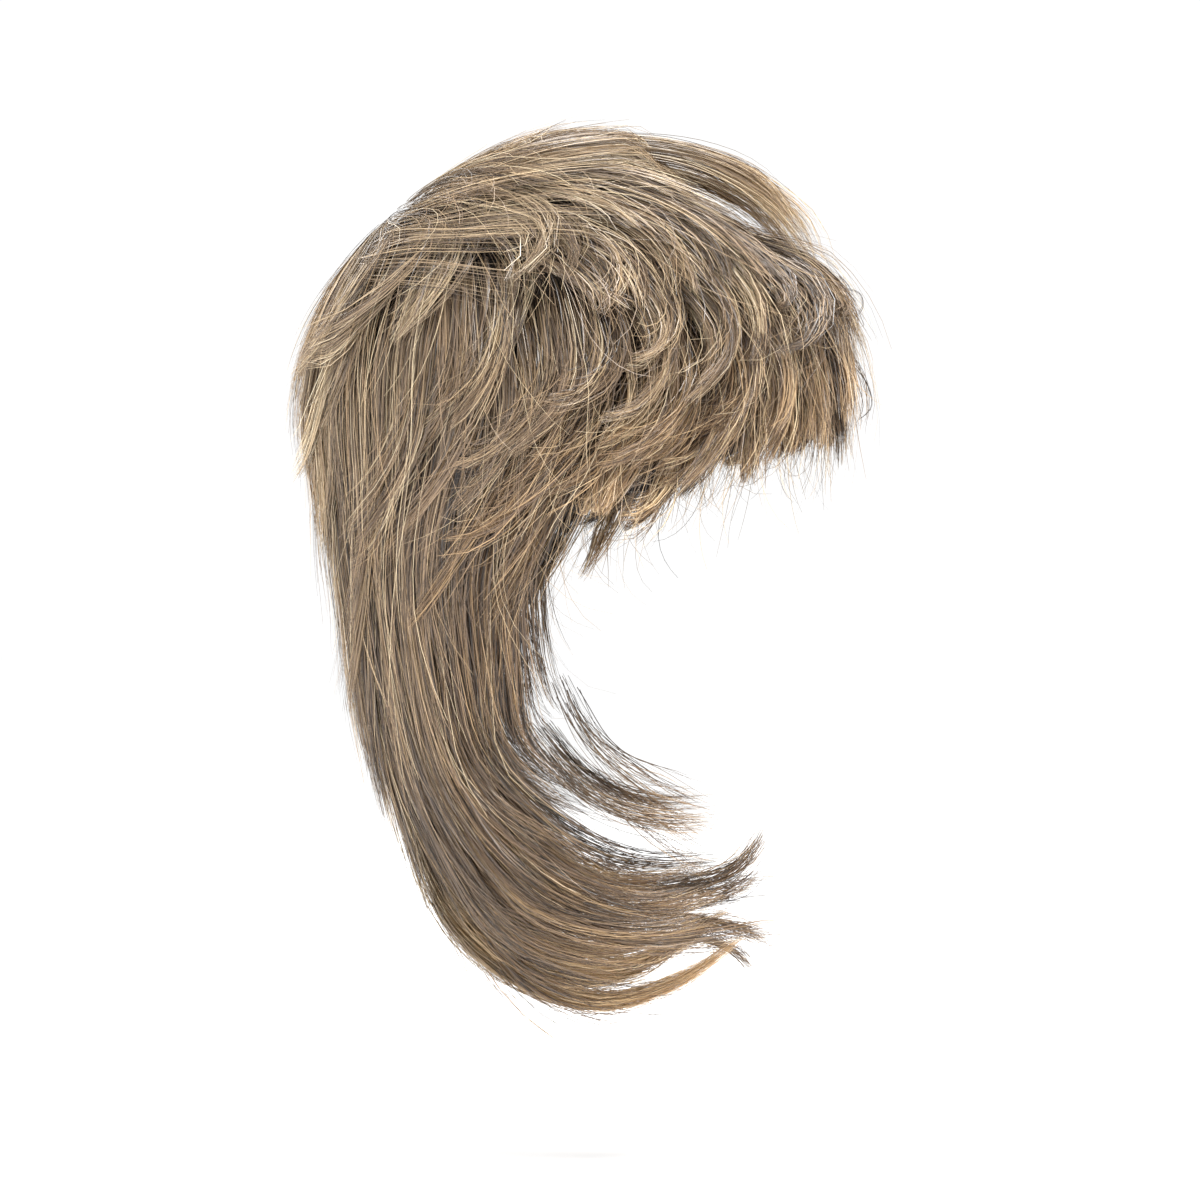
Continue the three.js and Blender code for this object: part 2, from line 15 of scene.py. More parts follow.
import bpy
import numpy as np
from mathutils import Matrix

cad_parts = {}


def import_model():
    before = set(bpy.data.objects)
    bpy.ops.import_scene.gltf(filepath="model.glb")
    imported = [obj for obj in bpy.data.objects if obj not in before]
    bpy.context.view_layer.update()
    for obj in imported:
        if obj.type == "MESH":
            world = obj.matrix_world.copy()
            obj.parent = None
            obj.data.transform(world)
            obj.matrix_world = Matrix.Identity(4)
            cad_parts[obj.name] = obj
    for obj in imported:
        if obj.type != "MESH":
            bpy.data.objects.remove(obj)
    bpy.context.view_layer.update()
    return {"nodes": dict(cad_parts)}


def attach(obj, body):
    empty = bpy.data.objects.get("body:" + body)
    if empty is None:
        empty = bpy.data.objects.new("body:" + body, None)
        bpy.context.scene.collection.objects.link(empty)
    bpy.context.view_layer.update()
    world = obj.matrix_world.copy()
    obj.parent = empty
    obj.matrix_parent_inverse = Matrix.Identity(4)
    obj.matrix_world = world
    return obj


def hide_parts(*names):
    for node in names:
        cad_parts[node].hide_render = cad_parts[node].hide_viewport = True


LOG = logging.getLogger("wig")
MM = 0.001
UP = np.array([0.0, 0.0, 1.0])
TURN_POWER = 2.2

# Shortest length that a vector is divided by.
LEAST_LENGTH = 1e-12
# How often the way out to the form is halved, and the shares of the egg's axes that it lies between.
HALVINGS = 30
NEAREST, FARTHEST = 0.5, 2.0
# Spots at which the rim of a panel, its width and its depth are measured.
RIM_SPOTS, WIDTH_SPOTS, DEPTH_SPOTS = 13, 24, 12
# Fewest locks of a panel, and fewest roots.
FEWEST = 3
# Steps of the sum whose fraction makes the locks uneven in length, as in the part's source.
LOCK_STEP, RING_STEP = 7, 31
UNEVEN_TURN, UNEVEN_SHIFT, UNEVEN_SCALE = 12.9898, 4.1414, 43758.5453
# Golden share, which spreads the roots evenly from the whorl outward.
GOLDEN = 0.6180339887
# How far a root strays along its ring, as a share of the distance between two roots.
ROOT_STRAY = 0.25
# Widths of the strands, as shares of the usual one.
WIDTH_RANGE = (0.7, 1.3)
# How far one strand's shade strays from that of its lock.
TONE_STRAY = 0.2
# How far a loose strand is rolled about its own line, in radians.
LOOSE_ROLL = 1.3


class Slot(Enum):
    """Material slots of the record that the pieces take their finish from."""

    NET = "cap_net"
    TAPE = "edge_binding"
    LIGHT = "hair_light"
    MIDDLE = "hair_middle"
    DARK = "hair_dark"


class Region(Enum):
    """Parts of the head that are combed and cut in their own way."""

    CROWN = "crown"
    FRINGE = "fringe"
    SIDE = "side"
    BACK = "back"
    NAPE = "nape"
    TAIL = "tail"


def smoothstep(values: np.ndarray, low: float, high: float) -> np.ndarray:
    """Returns 0 below low, 1 above high and a smooth rise between them.

    Args:
        values: Places along the rise.
        low: Where the rise starts.
        high: Where it ends.

    Returns:
        The height of the rise at each place.
    """
    share = np.clip((values - low) / (high - low), 0.0, 1.0)
    return share * share * (3.0 - 2.0 * share)


def unit(vectors: np.ndarray) -> np.ndarray:
    """Returns the vectors scaled to length 1."""
    return vectors / np.maximum(np.linalg.norm(vectors, axis=-1, keepdims=True), LEAST_LENGTH)


def dot(a: np.ndarray, b: np.ndarray) -> np.ndarray:
    """Returns the dot products along the last axis, which is kept."""
    return (a * b).sum(-1, keepdims=True)


@dataclass(frozen=True)
class SmoothCurve:
    """A smooth curve through a few stations, read at any place along it.

    Attributes:
        along: Places of the stations, rising.
        values: Heights of the curve there.
        fineness: How many points the reading table has.
    """

    along: tuple[float, ...]
    values: tuple[float, ...]
    fineness: int = 600

    @cached_property
    def table(self) -> tuple[np.ndarray, np.ndarray]:
        """The curve worked out at close places, for reading by interpolation."""
        x = np.array(self.along)
        y = np.array(self.values)
        at = np.linspace(x[0], x[-1], self.fineness)
        high = np.clip(np.searchsorted(x, at, side="right"), 1, len(x) - 1)
        low = high - 1
        before = np.where(low >= 1, low - 1, high)
        after = np.where(high + 1 < len(x), high + 1, low)
        span = x[high] - x[low]
        pull_in = 0.5 * span / (x[low] - x[before])
        pull_out = 0.5 * span / (x[after] - x[high])
        t = (at - x[low]) / span
        heights = y[before] * pull_in * (-(t**3) + 2 * t**2 - t)
        heights += y[low] * ((1 + pull_in) * t**3 - (1.5 + 2 * pull_in) * t**2 + (pull_in - 0.5) * t + 1)
        heights += y[high] * (-(1 + pull_out) * t**3 + (1.5 + pull_out) * t**2 + 0.5 * t)
        heights += y[after] * pull_out * (t**3 - t**2)
        return at, heights

    def at(self, places: np.ndarray) -> np.ndarray:
        """Returns the height of the curve at each place."""
        return np.interp(places, *self.table)


@dataclass(frozen=True)
class HeadForm:
    """The form that the hair lies on: an egg over the widest level of the head and a curtain below it.

    Attributes:
        half_length: Middle to front or back at the widest level.
        half_width: Middle to either side there.
        crown_height: Top of the cap above the widest level.
        tail_drop: Widest level down to the lowest ends of the tail.
        whorl_tilt: Angle of the whorl from straight up, towards the back.
        depths: Levels of the sections below the widest level, as shares of tail_drop.
        backs: Reach of each section to the back, as shares of half_length.
        fronts: Reach of each section to the front, as shares of half_length.
        widths: Half width of each section, as shares of half_width.
        edge_bearings: Bearings from the face side at which the cap's edge is given, in degrees.
        edge_reaches: How far the edge lies from the whorl there, in degrees.
        probe: Step with which the slope of the form is felt.
    """

    half_length: float = 99 * MM
    half_width: float = 77 * MM
    crown_height: float = 95 * MM
    tail_drop: float = 251 * MM
    whorl_tilt: float = math.radians(38.8)
    depths: tuple[float, ...] = (-0.06, 0.0, 0.13, 0.3, 0.47, 0.63, 0.8, 1.0)
    backs: tuple[float, ...] = (1.0, 1.0, 0.91, 0.83, 0.755, 0.61, 0.43, 0.2)
    fronts: tuple[float, ...] = (1.0, 1.0, 0.97, 0.9, 0.87, 0.88, 0.92, 0.97)
    widths: tuple[float, ...] = (1.0, 1.0, 0.98, 0.93, 0.89, 0.89, 0.89, 0.9)
    edge_bearings: tuple[float, ...] = (0, 30, 52, 70, 84, 98, 122, 150, 180)
    edge_reaches: tuple[float, ...] = (119, 119, 117, 113, 110, 100, 98, 98, 94)
    probe: float = 0.5 * MM

    @cached_property
    def axes(self) -> np.ndarray:
        """The half axes of the egg."""
        return np.array([self.half_length, self.half_width, self.crown_height])

    @cached_property
    def middle(self) -> np.ndarray:
        """The middle of the egg, at the widest level."""
        return np.array([0.0, 0.0, -self.crown_height])

    @cached_property
    def whorl(self) -> np.ndarray:
        """The direction of the whorl from the middle, in the egg's own round space."""
        return np.array([-math.sin(self.whorl_tilt), 0.0, math.cos(self.whorl_tilt)])

    @cached_property
    def ahead(self) -> np.ndarray:
        """The direction of bearing 0 there."""
        return np.array([math.cos(self.whorl_tilt), 0.0, math.sin(self.whorl_tilt)])

    @cached_property
    def back_curve(self) -> SmoothCurve:
        """Reach of the sections to the back."""
        return SmoothCurve(self.depths, self.backs)

    @cached_property
    def front_curve(self) -> SmoothCurve:
        """Reach of the sections to the front."""
        return SmoothCurve(self.depths, self.fronts)

    @cached_property
    def width_curve(self) -> SmoothCurve:
        """Half width of the sections."""
        return SmoothCurve(self.depths, self.widths)

    @cached_property
    def edge_curve(self) -> SmoothCurve:
        """Reach of the cap's edge from the whorl."""
        return SmoothCurve(self.edge_bearings, self.edge_reaches)

    def value(self, points: np.ndarray) -> np.ndarray:
        """Returns less than 0 inside the form, 0 on it and more outside.

        Args:
            points: Points, one a row.

        Returns:
            One value for each point.
        """
        x, y, z = points[:, 0], points[:, 1], points[:, 2]
        drop = -(z + self.crown_height)
        axes = (self.half_length, self.half_width, self.crown_height)
        egg = np.sqrt((x / axes[0]) ** 2 + (y / axes[1]) ** 2 + (drop / axes[2]) ** 2)
        depth = drop / self.tail_drop
        back = -self.back_curve.at(depth) * self.half_length
        front = self.front_curve.at(depth) * self.half_length
        along = (x - (front + back) / 2) / ((front - back) / 2)
        across = y / (self.width_curve.at(depth) * self.half_width)
        return np.where(drop <= 0, egg, np.hypot(along, across)) - 1

    def slope(self, points: np.ndarray) -> np.ndarray:
        """Returns the direction and rate in which the value rises fastest, at each point."""
        rates = []
        for axis in range(3):
            step = np.zeros(3)
            step[axis] = self.probe
            rates.append((self.value(points + step) - self.value(points - step)) / (2 * self.probe))
        return np.stack(rates, axis=1)

    def settle(self, points: np.ndarray, passes: int = 2) -> np.ndarray:
        """Moves points straight onto the form.

        Args:
            points: Points near the form.
            passes: How often each point is corrected.

        Returns:
            The moved points.
        """
        for _ in range(passes):
            slope = self.slope(points)
            points = points - slope * (self.value(points) / (slope**2).sum(1))[:, None]
        return points

    def point(self, bearings: np.ndarray, shares: np.ndarray) -> np.ndarray:
        """Finds points of the form.

        Args:
            bearings: Bearings from the face side round the whorl, in degrees.
            shares: How far out each point lies, from 0 at the whorl to 1 at the cap's edge.

        Returns:
            The points, one a row.
        """
        wrapped = np.abs((bearings + 180) % 360 - 180)
        reach = np.radians(shares * self.edge_curve.at(wrapped))
        turn = np.radians(bearings)
        outward = np.cos(turn)[:, None] * self.ahead + np.sin(turn)[:, None] * np.array([0.0, 1.0, 0.0])
        rays = (np.cos(reach)[:, None] * self.whorl + np.sin(reach)[:, None] * outward) * self.axes
        near, far = np.full(len(rays), NEAREST), np.full(len(rays), FARTHEST)
        for _ in range(HALVINGS):
            half = (near + far) / 2
            inside = self.value(self.middle + rays * half[:, None]) < 0
            near, far = np.where(inside, half, near), np.where(inside, far, half)
        return self.middle + rays * ((near + far) / 2)[:, None]

    def share(self, points: np.ndarray) -> np.ndarray:
        """Returns how far each point is on the way from the whorl, 0, to the cap's edge, 1."""
        rays = unit((points - self.middle) / self.axes)
        bearing = np.degrees(np.abs(np.arctan2(rays[:, 1], rays @ self.ahead)))
        reach = np.degrees(np.arccos(np.clip(rays @ self.whorl, -1, 1)))
        return reach / self.edge_curve.at(bearing)

    def way_out(self, bearings: np.ndarray, shares: np.ndarray) -> np.ndarray:
        """Returns the length of the way over the form that the shares stand for, at each bearing."""
        wrapped = np.abs((bearings + 180) % 360 - 180)
        return shares * np.radians(self.edge_curve.at(wrapped)) * (self.half_length + self.half_width) / 2

    def depth(self, points: np.ndarray) -> np.ndarray:
        """Returns the depth of each point below the widest level, as a share of the tail's drop."""
        return -(points[:, 2] + self.crown_height) / self.tail_drop


@dataclass(frozen=True)
class CombRow:
    """The way that the hair is combed at one place of the head, and at its mirror image.

    Attributes:
        ahead: Place along X, as a share of the form's half length.
        aside: Place along Y, as a share of its half width.
        below: Place down from the top, as a share of the whole drop.
        forward: Combed direction along X.
        out: Combed direction away from the median plane.
        down: Combed direction downwards.
    """

    ahead: float
    aside: float
    below: float
    forward: float
    out: float
    down: float


COMB_ROWS = (
    CombRow(-0.42, 0.0, 0.02, 1.0, 0.0, 0.0),
    CombRow(-0.5, 0.35, 0.05, 0.9, 0.5, 0.25),
    CombRow(0.1, 0.0, 0.0, 1.0, 0.0, 0.0),
    CombRow(0.0, 0.7, 0.08, 1.0, 0.1, 0.45),
    CombRow(0.65, 0.0, 0.06, 1.0, 0.0, 0.7),
    CombRow(0.98, 0.0, 0.22, 0.0, 0.0, 1.0),
    CombRow(0.8, 0.6, 0.22, 0.1, 0.0, 1.0),
    CombRow(0.55, 0.7, 0.12, 0.6, 0.0, 0.8),
    CombRow(0.6, 0.8, 0.3, -0.3, 0.0, 1.0),
    CombRow(-0.1, 0.95, 0.17, 0.2, 0.0, 0.95),
    CombRow(0.05, 1.0, 0.32, -0.45, 0.0, 1.0),
    CombRow(-0.65, 0.7, 0.13, -0.2, 0.2, 1.0),
    CombRow(-0.85, 0.0, 0.07, -0.6, 0.0, 0.9),
    CombRow(-1.0, 0.0, 0.28, 0.0, 0.0, 1.0),
    CombRow(-0.4, 0.9, 0.38, -0.3, 0.0, 1.0),
    CombRow(-0.28, 0.88, 0.57, 0.0, 0.0, 1.0),
    CombRow(-0.8, 0.25, 0.6, 0.1, 0.05, 1.0),
    CombRow(-0.05, 0.9, 0.72, 0.8, 0.0, 0.65),
    CombRow(-0.5, 0.5, 0.8, 0.6, 0.2, 0.9),
    CombRow(-0.4, 0.1, 0.88, 0.6, 0.35, 0.75),
    CombRow(-0.1, 0.9, 0.92, 1.0, 0.0, 0.3),
    CombRow(0.5, 0.8, 0.92, 1.0, -0.1, -0.15),
)


@dataclass(frozen=True)
class Comb:
    """How the hair is combed over the form.

    Attributes:
        form: The form that it lies on.
        rows: The combed directions at chosen places.
        softness: Distance within which one place counts alike.
        focus: How much more the nearest places count than the far ones.
        straight_share: Up to here on the way to the cap's edge, hair runs straight out from the whorl.
        free_share: From here on it only has to keep away_at_edge.
        away_at_edge: Least share of the direction that points away from the whorl.
    """

    form: HeadForm
    rows: tuple[CombRow, ...] = COMB_ROWS
    softness: float = 9.95 * MM
    focus: float = 1.7
    straight_share: float = 0.0
    free_share: float = 0.6
    away_at_edge: float = 0.15

    @cached_property
    def places(self) -> np.ndarray:
        """The places of the rows and of their mirror images."""
        drop = self.form.crown_height + self.form.tail_drop
        spots = []
        for row in self.rows:
            for hand in (-1, 1) if row.aside else (1,):
                spots.append(
                    (
                        row.ahead * self.form.half_length,
                        row.aside * self.form.half_width * hand,
                        -row.below * drop,
                    )
                )
        return np.array(spots)

    @cached_property
    def ways(self) -> np.ndarray:
        """The combed directions there."""
        found = []
        for row in self.rows:
            for hand in (-1, 1) if row.aside else (1,):
                found.append((row.forward, row.out * hand, -row.down))
        return unit(np.array(found))

    def direction(self, points: np.ndarray, normals: np.ndarray) -> np.ndarray:
        """Works out the combed direction at points of the form.

        Args:
            points: Points of the form.
            normals: The form's normals there.

        Returns:
            Unit directions that lie in the form.
        """
        gaps = ((points[:, None, :] - self.places[None]) ** 2).sum(-1) + self.softness**2
        way = (gaps**-self.focus) @ self.ways
        way = unit(way - normals * dot(way, normals))
        share = self.form.share(points)
        least = 1 - (1 - self.away_at_edge) * smoothstep(share, self.straight_share, self.free_share)
        least = np.where(share > 1, -1.0, least)[:, None]
        top = self.form.point(np.zeros(1), np.zeros(1))
        away = points - top
        away = unit(away - normals * dot(away, normals))
        along = dot(way, away)
        kept = unit(way - away * along) * np.sqrt(1 - np.clip(least, 0, 1) ** 2) + away * least
        return unit(np.where(along >= least, way, kept))


@dataclass(frozen=True)
class Ring:
    """One ring of locks round the whorl.

    Attributes:
        name: The ring's name, as in the names of its pieces.
        start: Where its roots start, as a share of the way from the whorl to the cap's edge.
        lengths: Length of its hair at the bearings of the cut.
        slot: The material slot of its hair.
    """

    name: str
    start: float
    lengths: tuple[float, ...]
    slot: Slot


@dataclass(frozen=True)
class Cut:
    """How long the hair is, round the head and from ring to ring.

    Attributes:
        fringe: Length of a full fringe lock.
        side: Length of a full lock over the ear.
        tail: Length of a full tail lock.
        bearings: Bearings of the brow, temple, ear, the place behind it, the nape's corner and the nape.
        lock_width: Width of a main lock.
        full_width_at: How far past a ring's start its locks have that width, as a share of the way.
        valley_length: Length of the hair between two locks, as a share of a lock's length.
        tip_reach: Most that a lock reaches beyond that hair.
        length_spread: How much the main locks differ in length.
        shares: For each ring its name, where it starts, and its length at those bearings as shares of the
            fringe, fringe, side, tail, tail and tail length.
    """

    fringe: float = 95 * MM
    side: float = 85 * MM
    tail: float = 280 * MM
    bearings: tuple[float, ...] = (0, 52, 84, 106, 145, 180)
    lock_width: float = 25 * MM
    full_width_at: float = 0.3
    valley_length: float = 0.72
    tip_reach: float = 38 * MM
    length_spread: float = 0.14
    shares: tuple[tuple[str, float, tuple[float, ...], Slot], ...] = (
        ("whorl", 0.03, (0.76, 0.78, 0.85, 0.28, 0.26, 0.26), Slot.LIGHT),
        ("crown", 0.2, (1.0, 0.95, 1.0, 0.38, 0.42, 0.42), Slot.LIGHT),
        ("upper", 0.37, (1.0, 0.98, 1.08, 0.54, 0.68, 0.68), Slot.MIDDLE),
        ("middle", 0.54, (0.95, 0.93, 1.04, 0.64, 0.92, 0.74), Slot.MIDDLE),
        ("lower", 0.71, (0.8, 0.8, 0.92, 0.66, 1.03, 0.74), Slot.DARK),
        ("edge", 0.88, (0.56, 0.58, 0.7, 0.56, 0.84, 0.6), Slot.DARK),
    )

    @cached_property
    def rings(self) -> tuple[Ring, ...]:
        """The rings, from the whorl out."""
        whole = (self.fringe, self.fringe, self.side, self.tail, self.tail, self.tail)
        return tuple(
            Ring(name, start, tuple(share * length for share, length in zip(row, whole)), slot)
            for name, start, row, slot in self.shares
        )

    @cached_property
    def starts(self) -> tuple[float, ...]:
        """Where the rings start."""
        return tuple(ring.start for ring in self.rings)

    def length(self, ring: Ring, bearings: np.ndarray) -> np.ndarray:
        """Works out the length of a ring's hair.

        Args:
            ring: The ring.
            bearings: Bearings from the face side, in degrees.

        Returns:
            The length at each bearing.
        """
        around = np.abs((bearings + 180) % 360 - 180)
        found = np.full(around.shape, ring.lengths[-1])
        for i in range(1, len(self.bearings)):
            near, far = self.bearings[i - 1], self.bearings[i]
            rise = smoothstep(around, near, far)
            here = ring.lengths[i - 1] + (ring.lengths[i] - ring.lengths[i - 1]) * rise
            found = np.where((around >= near) & (around <= far), here, found)
        return found


    def teeth(self, form: HeadForm, ring: Ring, order: int, start: float, stop: float) -> tuple:
        """Works out how a panel's hair ends: in points, with shorter hair between them.

        Args:
            form: The form that it lies on.
            ring: The panel's ring.
            order: The ring's number.
            start: Bearing at which the panel starts.
            stop: Bearing at which it ends.

        Returns:
            Bearings from valley to point to valley, and the length of the hair at each.
        """
        full = min(ring.start + self.full_width_at, 1.0)
        rim = form.point(np.linspace(start, stop, RIM_SPOTS), np.full(RIM_SPOTS, full))
        rim_length = float(np.linalg.norm(np.diff(rim, axis=0), axis=1).sum())
        locks = max(FEWEST, round(rim_length / self.lock_width))
        number = np.arange(2 * locks + 1)
        bearings = start + (stop - start) * number / (2 * locks)
        whole = self.length(ring, bearings)
        seed = number * LOCK_STEP + order * RING_STEP + start
        drawn = np.sin(seed * UNEVEN_TURN + UNEVEN_SHIFT) * UNEVEN_SCALE
        uneven = 1 + self.length_spread * (2 * (drawn - np.floor(drawn)) - 1)
        valley = np.maximum(whole * self.valley_length, whole - self.tip_reach)
        return bearings, np.where(number % 2 == 0, valley, whole * uneven)


@dataclass(frozen=True)
class Layering:
    """How the layers of hair lie over each other, above the form.

    Attributes:
        form: The form.
        cut: The rings.
        root_lift: Height of the roots over the inside of the cap.
        thickness: Thickness of one layer.
        gap: Room between two layers.
        tip: Thickness of a layer at its ends.
        puff: How high the hair stands off the cap at the whorl.
        front_fullness: How much thicker the layers are over the brow.
        back_flatness: How much thinner they are at the back.
        tail_spread: How much further apart they lie at the ends of the tail.
        spread_from: Where that starts, as a share of the tail's drop.
        brow_depth: Depth over which the fullness of the brow fades, as such a share.
        level_off: How many layers the hair still rises past the last ring.
        hollow_from: Where the hollow under the front arch starts, and where it is whole, along X.
        hollow_to: Where it starts to end, and where it has ended.
        hollow_side: The same along Y, on both sides.
        hollow_share: How much lower the hair lies in it.
    """

    form: HeadForm
    cut: Cut
    root_lift: float = 1.9 * MM
    thickness: float = 3.5 * MM
    gap: float = 1.7 * MM
    tip: float = 0.8 * MM
    puff: float = 15.5 * MM
    front_fullness: float = 0.42
    back_flatness: float = 0.36
    tail_spread: float = 0.8
    spread_from: float = 0.4
    brow_depth: float = 0.25
    level_off: float = 0.5
    hollow_from: tuple[float, float] = (16 * MM, 40 * MM)
    hollow_to: tuple[float, float] = (62 * MM, 84 * MM)
    hollow_side: tuple[float, float] = (22 * MM, 48 * MM)
    hollow_share: float = 0.85

    def lie(self, points: np.ndarray, share: np.ndarray, above: np.ndarray) -> np.ndarray:
        """Works out how high a layer lies above its roots.

        Args:
            points: Points of the form, one a row.
            share: Their share of the way to the cap's edge.
            above: Number of layers beneath.

        Returns:
            The height at each point.
        """
        x, y = points[:, 0], np.abs(points[:, 1])
        ahead = smoothstep(x, *self.hollow_from) * (1 - smoothstep(x, *self.hollow_to))
        hollow = self.hollow_share * ahead * (1 - smoothstep(y, *self.hollow_side)) * (share < 1)
        height = self.puff * np.clip(1 - share, 0, None) + (self.thickness + self.gap) * above
        return self.fullness(points) * height * (1 - hollow)

    def layer(self, share: np.ndarray) -> np.ndarray:
        """Returns the number of ring starts between the whorl and each place, with its fraction."""
        starts = np.array(self.cut.starts)
        last = len(starts) - 1
        inner = np.interp(share, starts, np.arange(last + 1))
        inner = np.where(share < starts[0], (share - starts[0]) / (starts[1] - starts[0]), inner)
        past = np.clip(share - starts[-1], 0, None) / ((starts[-1] - starts[-2]) * self.level_off)
        return inner + self.level_off * (1 - np.exp(-past))

    def fullness(self, points: np.ndarray) -> np.ndarray:
        """Returns how much thicker than usual the layers are at each point."""
        ahead = points[:, 0] / self.form.half_length
        depth = self.form.depth(points)
        tail = 1 + self.tail_spread * smoothstep(depth, self.spread_from, 1.0)
        back = 1 - self.back_flatness * ahead**2
        front = 1 + self.front_fullness * ahead**2 * np.clip(1 - depth / self.brow_depth, 0, 1)
        return tail * np.where(ahead < 0, back, front)


@dataclass
class HairLines:
    """Lines of hair on the form: one row of points for each line.

    Attributes:
        points: Places on the form, lines by paces by 3.
        normals: The form's normals there.
        sides: Directions across the hair there.
        full: Fullness there.
        lying: Height of the layer there, above its roots.
        length: Length of each line.
    """

    points: np.ndarray
    normals: np.ndarray
    sides: np.ndarray
    full: np.ndarray
    lying: np.ndarray
    length: np.ndarray


@dataclass(frozen=True)
class LockStyle:
    """How the locks of one region of the head are shaped.

    Attributes:
        lock_spacing: Distance between the middles of two locks.
        gather: How far the hair of a lock draws together at its end, from 0 to 1.
        sweep: Turn of a lock's end towards the back, in radians.
        stray_turn: How much that differs from lock to lock.
        flick: How far the ends of a lock stand out.
        heave: How far whole locks stand out over their neighbours.
        wisp_gather: How far the strands of a wisp draw together.
        stray_share: Share of the strands that leave their wisp.
        painted_light_shift: Painted light and shade: how much lighter, or with a minus darker, the strands
            are made than elsewhere, after how much light falls on the region.
        uneven: How much neighbouring locks differ in length.
    """

    lock_spacing: float
    gather: float
    sweep: float
    stray_turn: float
    flick: float
    heave: float
    wisp_gather: float
    stray_share: float
    painted_light_shift: float
    uneven: float = 0.16


# The last number of each style is painted light and shade: nape, tail and fringe strands are darkened and the
# sides' lightened, after how the light falls on them.
STYLES = {
    Region.CROWN: LockStyle(20 * MM, 0.6, 0.15, 0.3, 2 * MM, 3 * MM, 0.55, 0.15, 0.0),
    Region.FRINGE: LockStyle(16 * MM, 0.9, 0.9, 0.55, 4 * MM, 6 * MM, 0.72, 0.18, -0.07),
    Region.SIDE: LockStyle(16 * MM, 0.9, 1.15, 0.45, 5 * MM, 6 * MM, 0.72, 0.22, 0.03),
    Region.BACK: LockStyle(14 * MM, 0.5, 0.1, 0.14, 0.6 * MM, 1 * MM, 0.5, 0.1, 0.0),
    Region.NAPE: LockStyle(14 * MM, 0.5, 0.1, 0.14, 0.6 * MM, 1 * MM, 0.5, 0.1, -0.25),
    Region.TAIL: LockStyle(11 * MM, 0.4, -0.12, 0.09, 0.8 * MM, 1 * MM, 0.5, 0.06, -0.17),
}


@dataclass(frozen=True)
class StrandSize:
    """The size of single strands and of the wisps that they form.

    Attributes:
        wisp_spacing: Distance between the middles of two wisps.
        strands_a_wisp: Number of strands in one wisp.
        half_width: Half the width of a strand.
        tip_share: Width of a strand's end, as a share of its own.
        roll: How far a strand is turned about itself, at most, in radians.
        segment: Length of one straight piece of a strand.
        least_segments: Fewest straight pieces of a strand.
        pace: Step with which a line of hair is followed over the form.
        root_run: Length over which hair rises from its root to its layer.
        crown_rise: How high the crown's hair stands at its roots already, as a share of its layer's height.
        short_lock: Longest lock of the sides whose end sweeps the whole way. Longer ones sweep less.
        wisp_level: Part of a strand's height in its layer that it shares with its wisp.
        own_level: Part of that height that is its own.
        root_ease: How much slower the lowest strands rise from their roots than the highest.
        body_fall: Share of the layer's thickness that is gone at the end of the hair.
        wisp_width: How far strands lie from their wisp's line, as a share of wisp_spacing.
        stray_drift: How far the ends of stray strands wander sideways.
        drift: How far the ends of the other strands do.
        wave: How far strands wave from side to side at their ends.
        waves: Fewest and most waves along a strand.
        heave_level: Height in the layer above which strands are heaved up.
        heave_over: Shares of the length between which they are.
        stray_rise: How far the ends of stray strands stand off.
        unevenness: How unevenly strands lie in height.
        taper_from: Share of the length from which a strand grows thinner.
        taper_over: Share of the length over which it does.
        taper_power: How late it does.
        middle_tone: Middle shade, from 0, dark, to 1, light.
        lock_tone_stray: How far a lock's shade strays from it.
        wisp_tone_stray: How far a wisp's shade strays from its lock's.
    """

    wisp_spacing: float = 4.3 * MM
    strands_a_wisp: int = 11
    half_width: float = 0.19 * MM
    tip_share: float = 0.25
    roll: float = 1.2
    segment: float = 16.5 * MM
    least_segments: int = 6
    pace: float = 3 * MM
    root_run: float = 16 * MM
    crown_rise: float = 0.9
    short_lock: float = 90 * MM
    wisp_level: float = 0.7
    own_level: float = 0.3
    root_ease: float = 1.25
    body_fall: float = 0.77
    wisp_width: float = 0.42
    stray_drift: float = 7 * MM
    drift: float = 0.8 * MM
    wave: float = 0.5 * MM
    waves: tuple[float, float] = (0.6, 1.6)
    heave_level: float = 0.2
    heave_over: tuple[float, float] = (0.1, 0.6)
    stray_rise: float = 2.2 * MM
    unevenness: float = 0.35 * MM
    taper_from: float = 0.55
    taper_over: float = 0.45
    taper_power: float = 1.5
    middle_tone: float = 0.48
    lock_tone_stray: float = 0.08
    wisp_tone_stray: float = 0.14


def trace_lines(
    comb: Comb,
    layering: Layering,
    order: np.ndarray,
    roots: np.ndarray,
    lengths: np.ndarray,
    turns: np.ndarray,
    paces: int,
) -> HairLines:
    """Follows the combed hair over the form.

    Args:
        comb: How it is combed.
        layering: How the layers lie.
        order: Number of the ring that each line belongs to.
        roots: Where the lines start, on the form.
        lengths: How long each line is.
        turns: How far the end of each line turns away from the combed direction, in radians.
        paces: Number of steps along each line.

    Returns:
        The lines.
    """
    form = comb.form
    spots, normals, sides = [], [], []
    here = roots.copy()
    for step in range(paces + 1):
        normal = unit(form.slope(here))
        way = comb.direction(here, normal)
        side = np.cross(normal, way)
        turn = (turns * (step / paces) ** TURN_POWER)[:, None]
        way = way * np.cos(turn) + side * np.sin(turn)
        spots.append(here)
        normals.append(normal)
        sides.append(np.cross(normal, way))
        here = form.settle(here + way * (lengths / paces)[:, None])
    points = np.stack(spots, axis=1)
    flat = points.reshape(-1, 3)
    shape = points.shape[:2]
    share = form.share(flat)
    above = np.clip(layering.layer(share) - np.repeat(order, shape[1]), 0, None)
    return HairLines(
        points,
        np.stack(normals, axis=1),
        np.stack(sides, axis=1),
        layering.fullness(flat).reshape(shape),
        layering.lie(flat, share, above).reshape(shape),
        lengths,
    )


